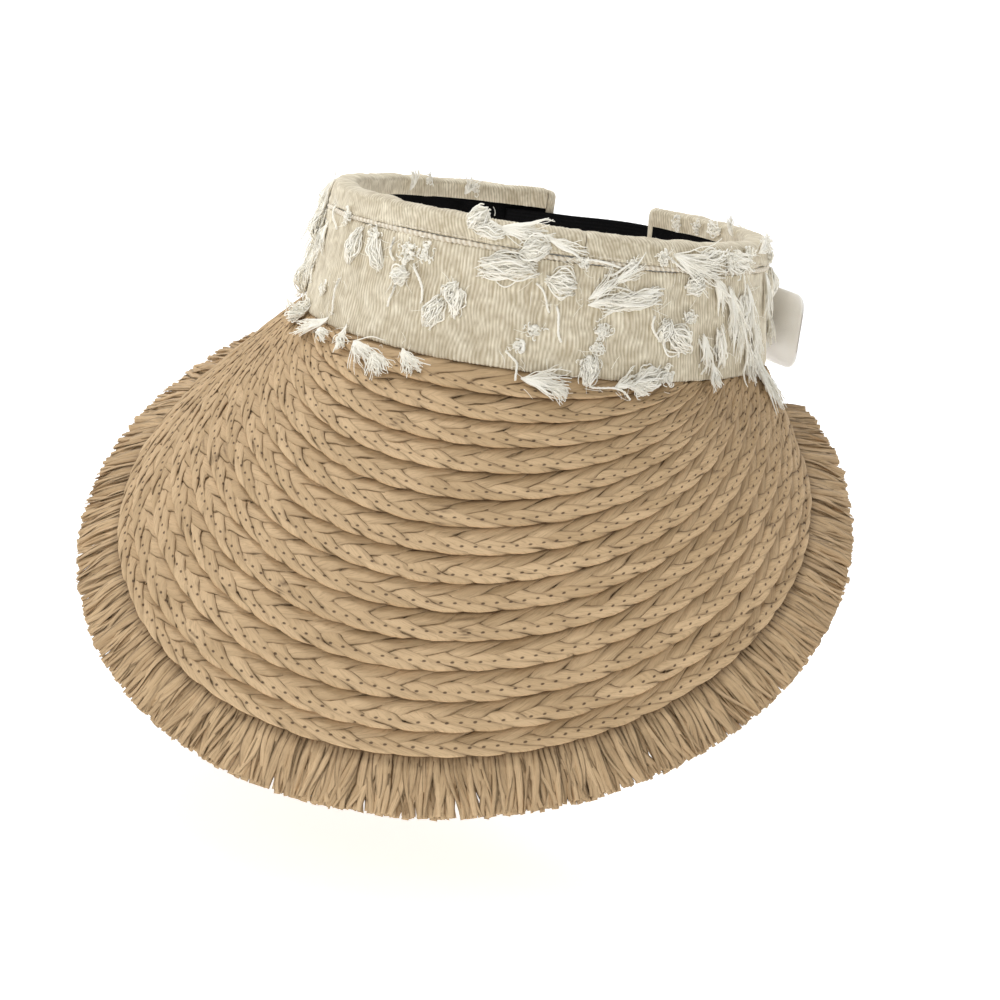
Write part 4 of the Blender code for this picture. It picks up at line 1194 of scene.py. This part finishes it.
def topstitch():
    """A line of short stitches on the hem just above the welt, each a small capsule."""
    angle, s = columns_between(ARM_LEFT_DEG + 1.0, ARM_RIGHT_DEG - 1.0, 3.4 * MM)
    t = np.linspace(-1.0, 1.0, 7)[None, :]
    at = angle[:, None] + t * 1.25 * MM / BAND_RADIUS
    drop = STITCH_DROP + 0.1 * MM * cloud(s / (9.0 * MM), 0 * s, 12)[:, None]
    paths = band_point(at, -0.34 * MM + 0.30 * MM * t ** 4, band_height(at) - drop)
    radius = 0.19 * MM * np.sqrt(np.clip(1.03 - t ** 2, 0.0, 1.0)) + 0.0 * at
    verts = tubes(paths, radius, 6)
    uv = np.zeros(verts.shape[:3] + (2,)) + t[0, None, :, None, None] * MM
    piece = make_mesh("topstitching", verts, tube_faces(*verts.shape[:3]), piping_cotton,
                      uvs={"cloth": uv}, values={"tone": np.full(verts.shape[:3], 0.7)})
    return finish_piece(piece, "visor", "cream_cord")


topstitch()

# --------------------------------------------------------------------------- camera and light

CAMERA_AZIMUTH = 12.2
CAMERA_ELEVATION = 12.5
CAMERA_ROLL = 7.95
CAMERA_DISTANCE = 1.025
CAMERA_LENS = 104.1
CAMERA_TARGET = Vector((0.0082, -0.0582, -0.0560))
FLOOR_BACK = 1.2
SWEEP_RADIUS = 1.6
LIGHT_TARGET = Vector((0.0, -0.06, -0.05))


def place_camera():
    """A camera that looks at the target from its azimuth and elevation, then rolls about its axis."""
    data = bpy.data.cameras.new("camera")
    data.lens = CAMERA_LENS
    data.sensor_width = 36.0
    data.dof.use_dof = False
    thing = bpy.data.objects.new("camera", data)
    bpy.context.scene.collection.objects.link(thing)
    azimuth, elevation = np.radians(CAMERA_AZIMUTH), np.radians(CAMERA_ELEVATION)
    back = Vector((
        np.sin(azimuth) * np.cos(elevation), -np.cos(azimuth) * np.cos(elevation), np.sin(elevation)))
    turn = back.to_track_quat("Z", "Y") @ Matrix.Rotation(np.radians(CAMERA_ROLL), 3, "Z").to_quaternion()
    move = Matrix.Translation(CAMERA_TARGET + back * CAMERA_DISTANCE)
    thing.matrix_world = move @ turn.to_matrix().to_4x4()
    bpy.context.scene.camera = thing


def area_light(name, where, size, power):
    """A square soft light aimed at the visor."""
    data = bpy.data.lights.new(name, "AREA")
    data.size = size
    data.energy = power
    thing = bpy.data.objects.new(name, data)
    bpy.context.scene.collection.objects.link(thing)
    thing.location = where
    aim = LIGHT_TARGET - Vector(where)
    thing.rotation_euler = aim.to_track_quat("-Z", "Y").to_euler()


def studio():
    """A pale floor that sweeps up behind the visor, soft lights and an even sky."""
    mat, _, shader = new_material("studio_floor", 0.9, specular=0.1)
    shader.inputs["Base Color"].default_value = (0.93, 0.93, 0.925, 1.0)
    shader.inputs["Emission Color"].default_value = (1.0, 1.0, 1.0, 1.0)
    shader.inputs["Emission Strength"].default_value = 0.52
    low = cad_box[0][2] - 0.03
    across = np.linspace(-6.0, 6.0, 3)
    arc = np.radians(np.arange(10, 91, 10))
    wall = FLOOR_BACK + SWEEP_RADIUS
    along = np.concatenate([
        np.linspace(-5.0, FLOOR_BACK, 4), FLOOR_BACK + SWEEP_RADIUS * np.sin(arc), [wall]])
    rise = np.concatenate([np.zeros(4), SWEEP_RADIUS * (1.0 - np.cos(arc)), [6.0]])
    grid = np.stack(np.broadcast_arrays(across[:, None], along[None, :], low + rise[None, :]), axis=-1)
    n, m = grid.shape[:2]
    i, j = np.meshgrid(np.arange(n - 1), np.arange(m - 1), indexing="ij")
    corner = i * m + j
    quads = np.stack([corner, corner + m, corner + m + 1, corner + 1], axis=-1).reshape(-1, 4)
    floor = make_mesh("studio_floor", grid, [quads], mat)
    area_light("key", (-0.75, 0.05, 1.5), 0.7, 13.0)
    area_light("fill", (-0.5, -1.7, 0.5), 1.4, 7.5)
    area_light("side", (1.5, -0.3, 0.9), 1.0, 1.6)
    world = bpy.data.worlds.new("studio")
    world.use_nodes = True
    sky = world.node_tree.nodes["Background"]
    sky.inputs["Color"].default_value = (1.0, 1.0, 1.0, 1.0)
    sky.inputs["Strength"].default_value = 0.49
    bpy.context.scene.world = world
    bpy.context.scene.view_settings.view_transform = "Standard"


place_camera()
studio()
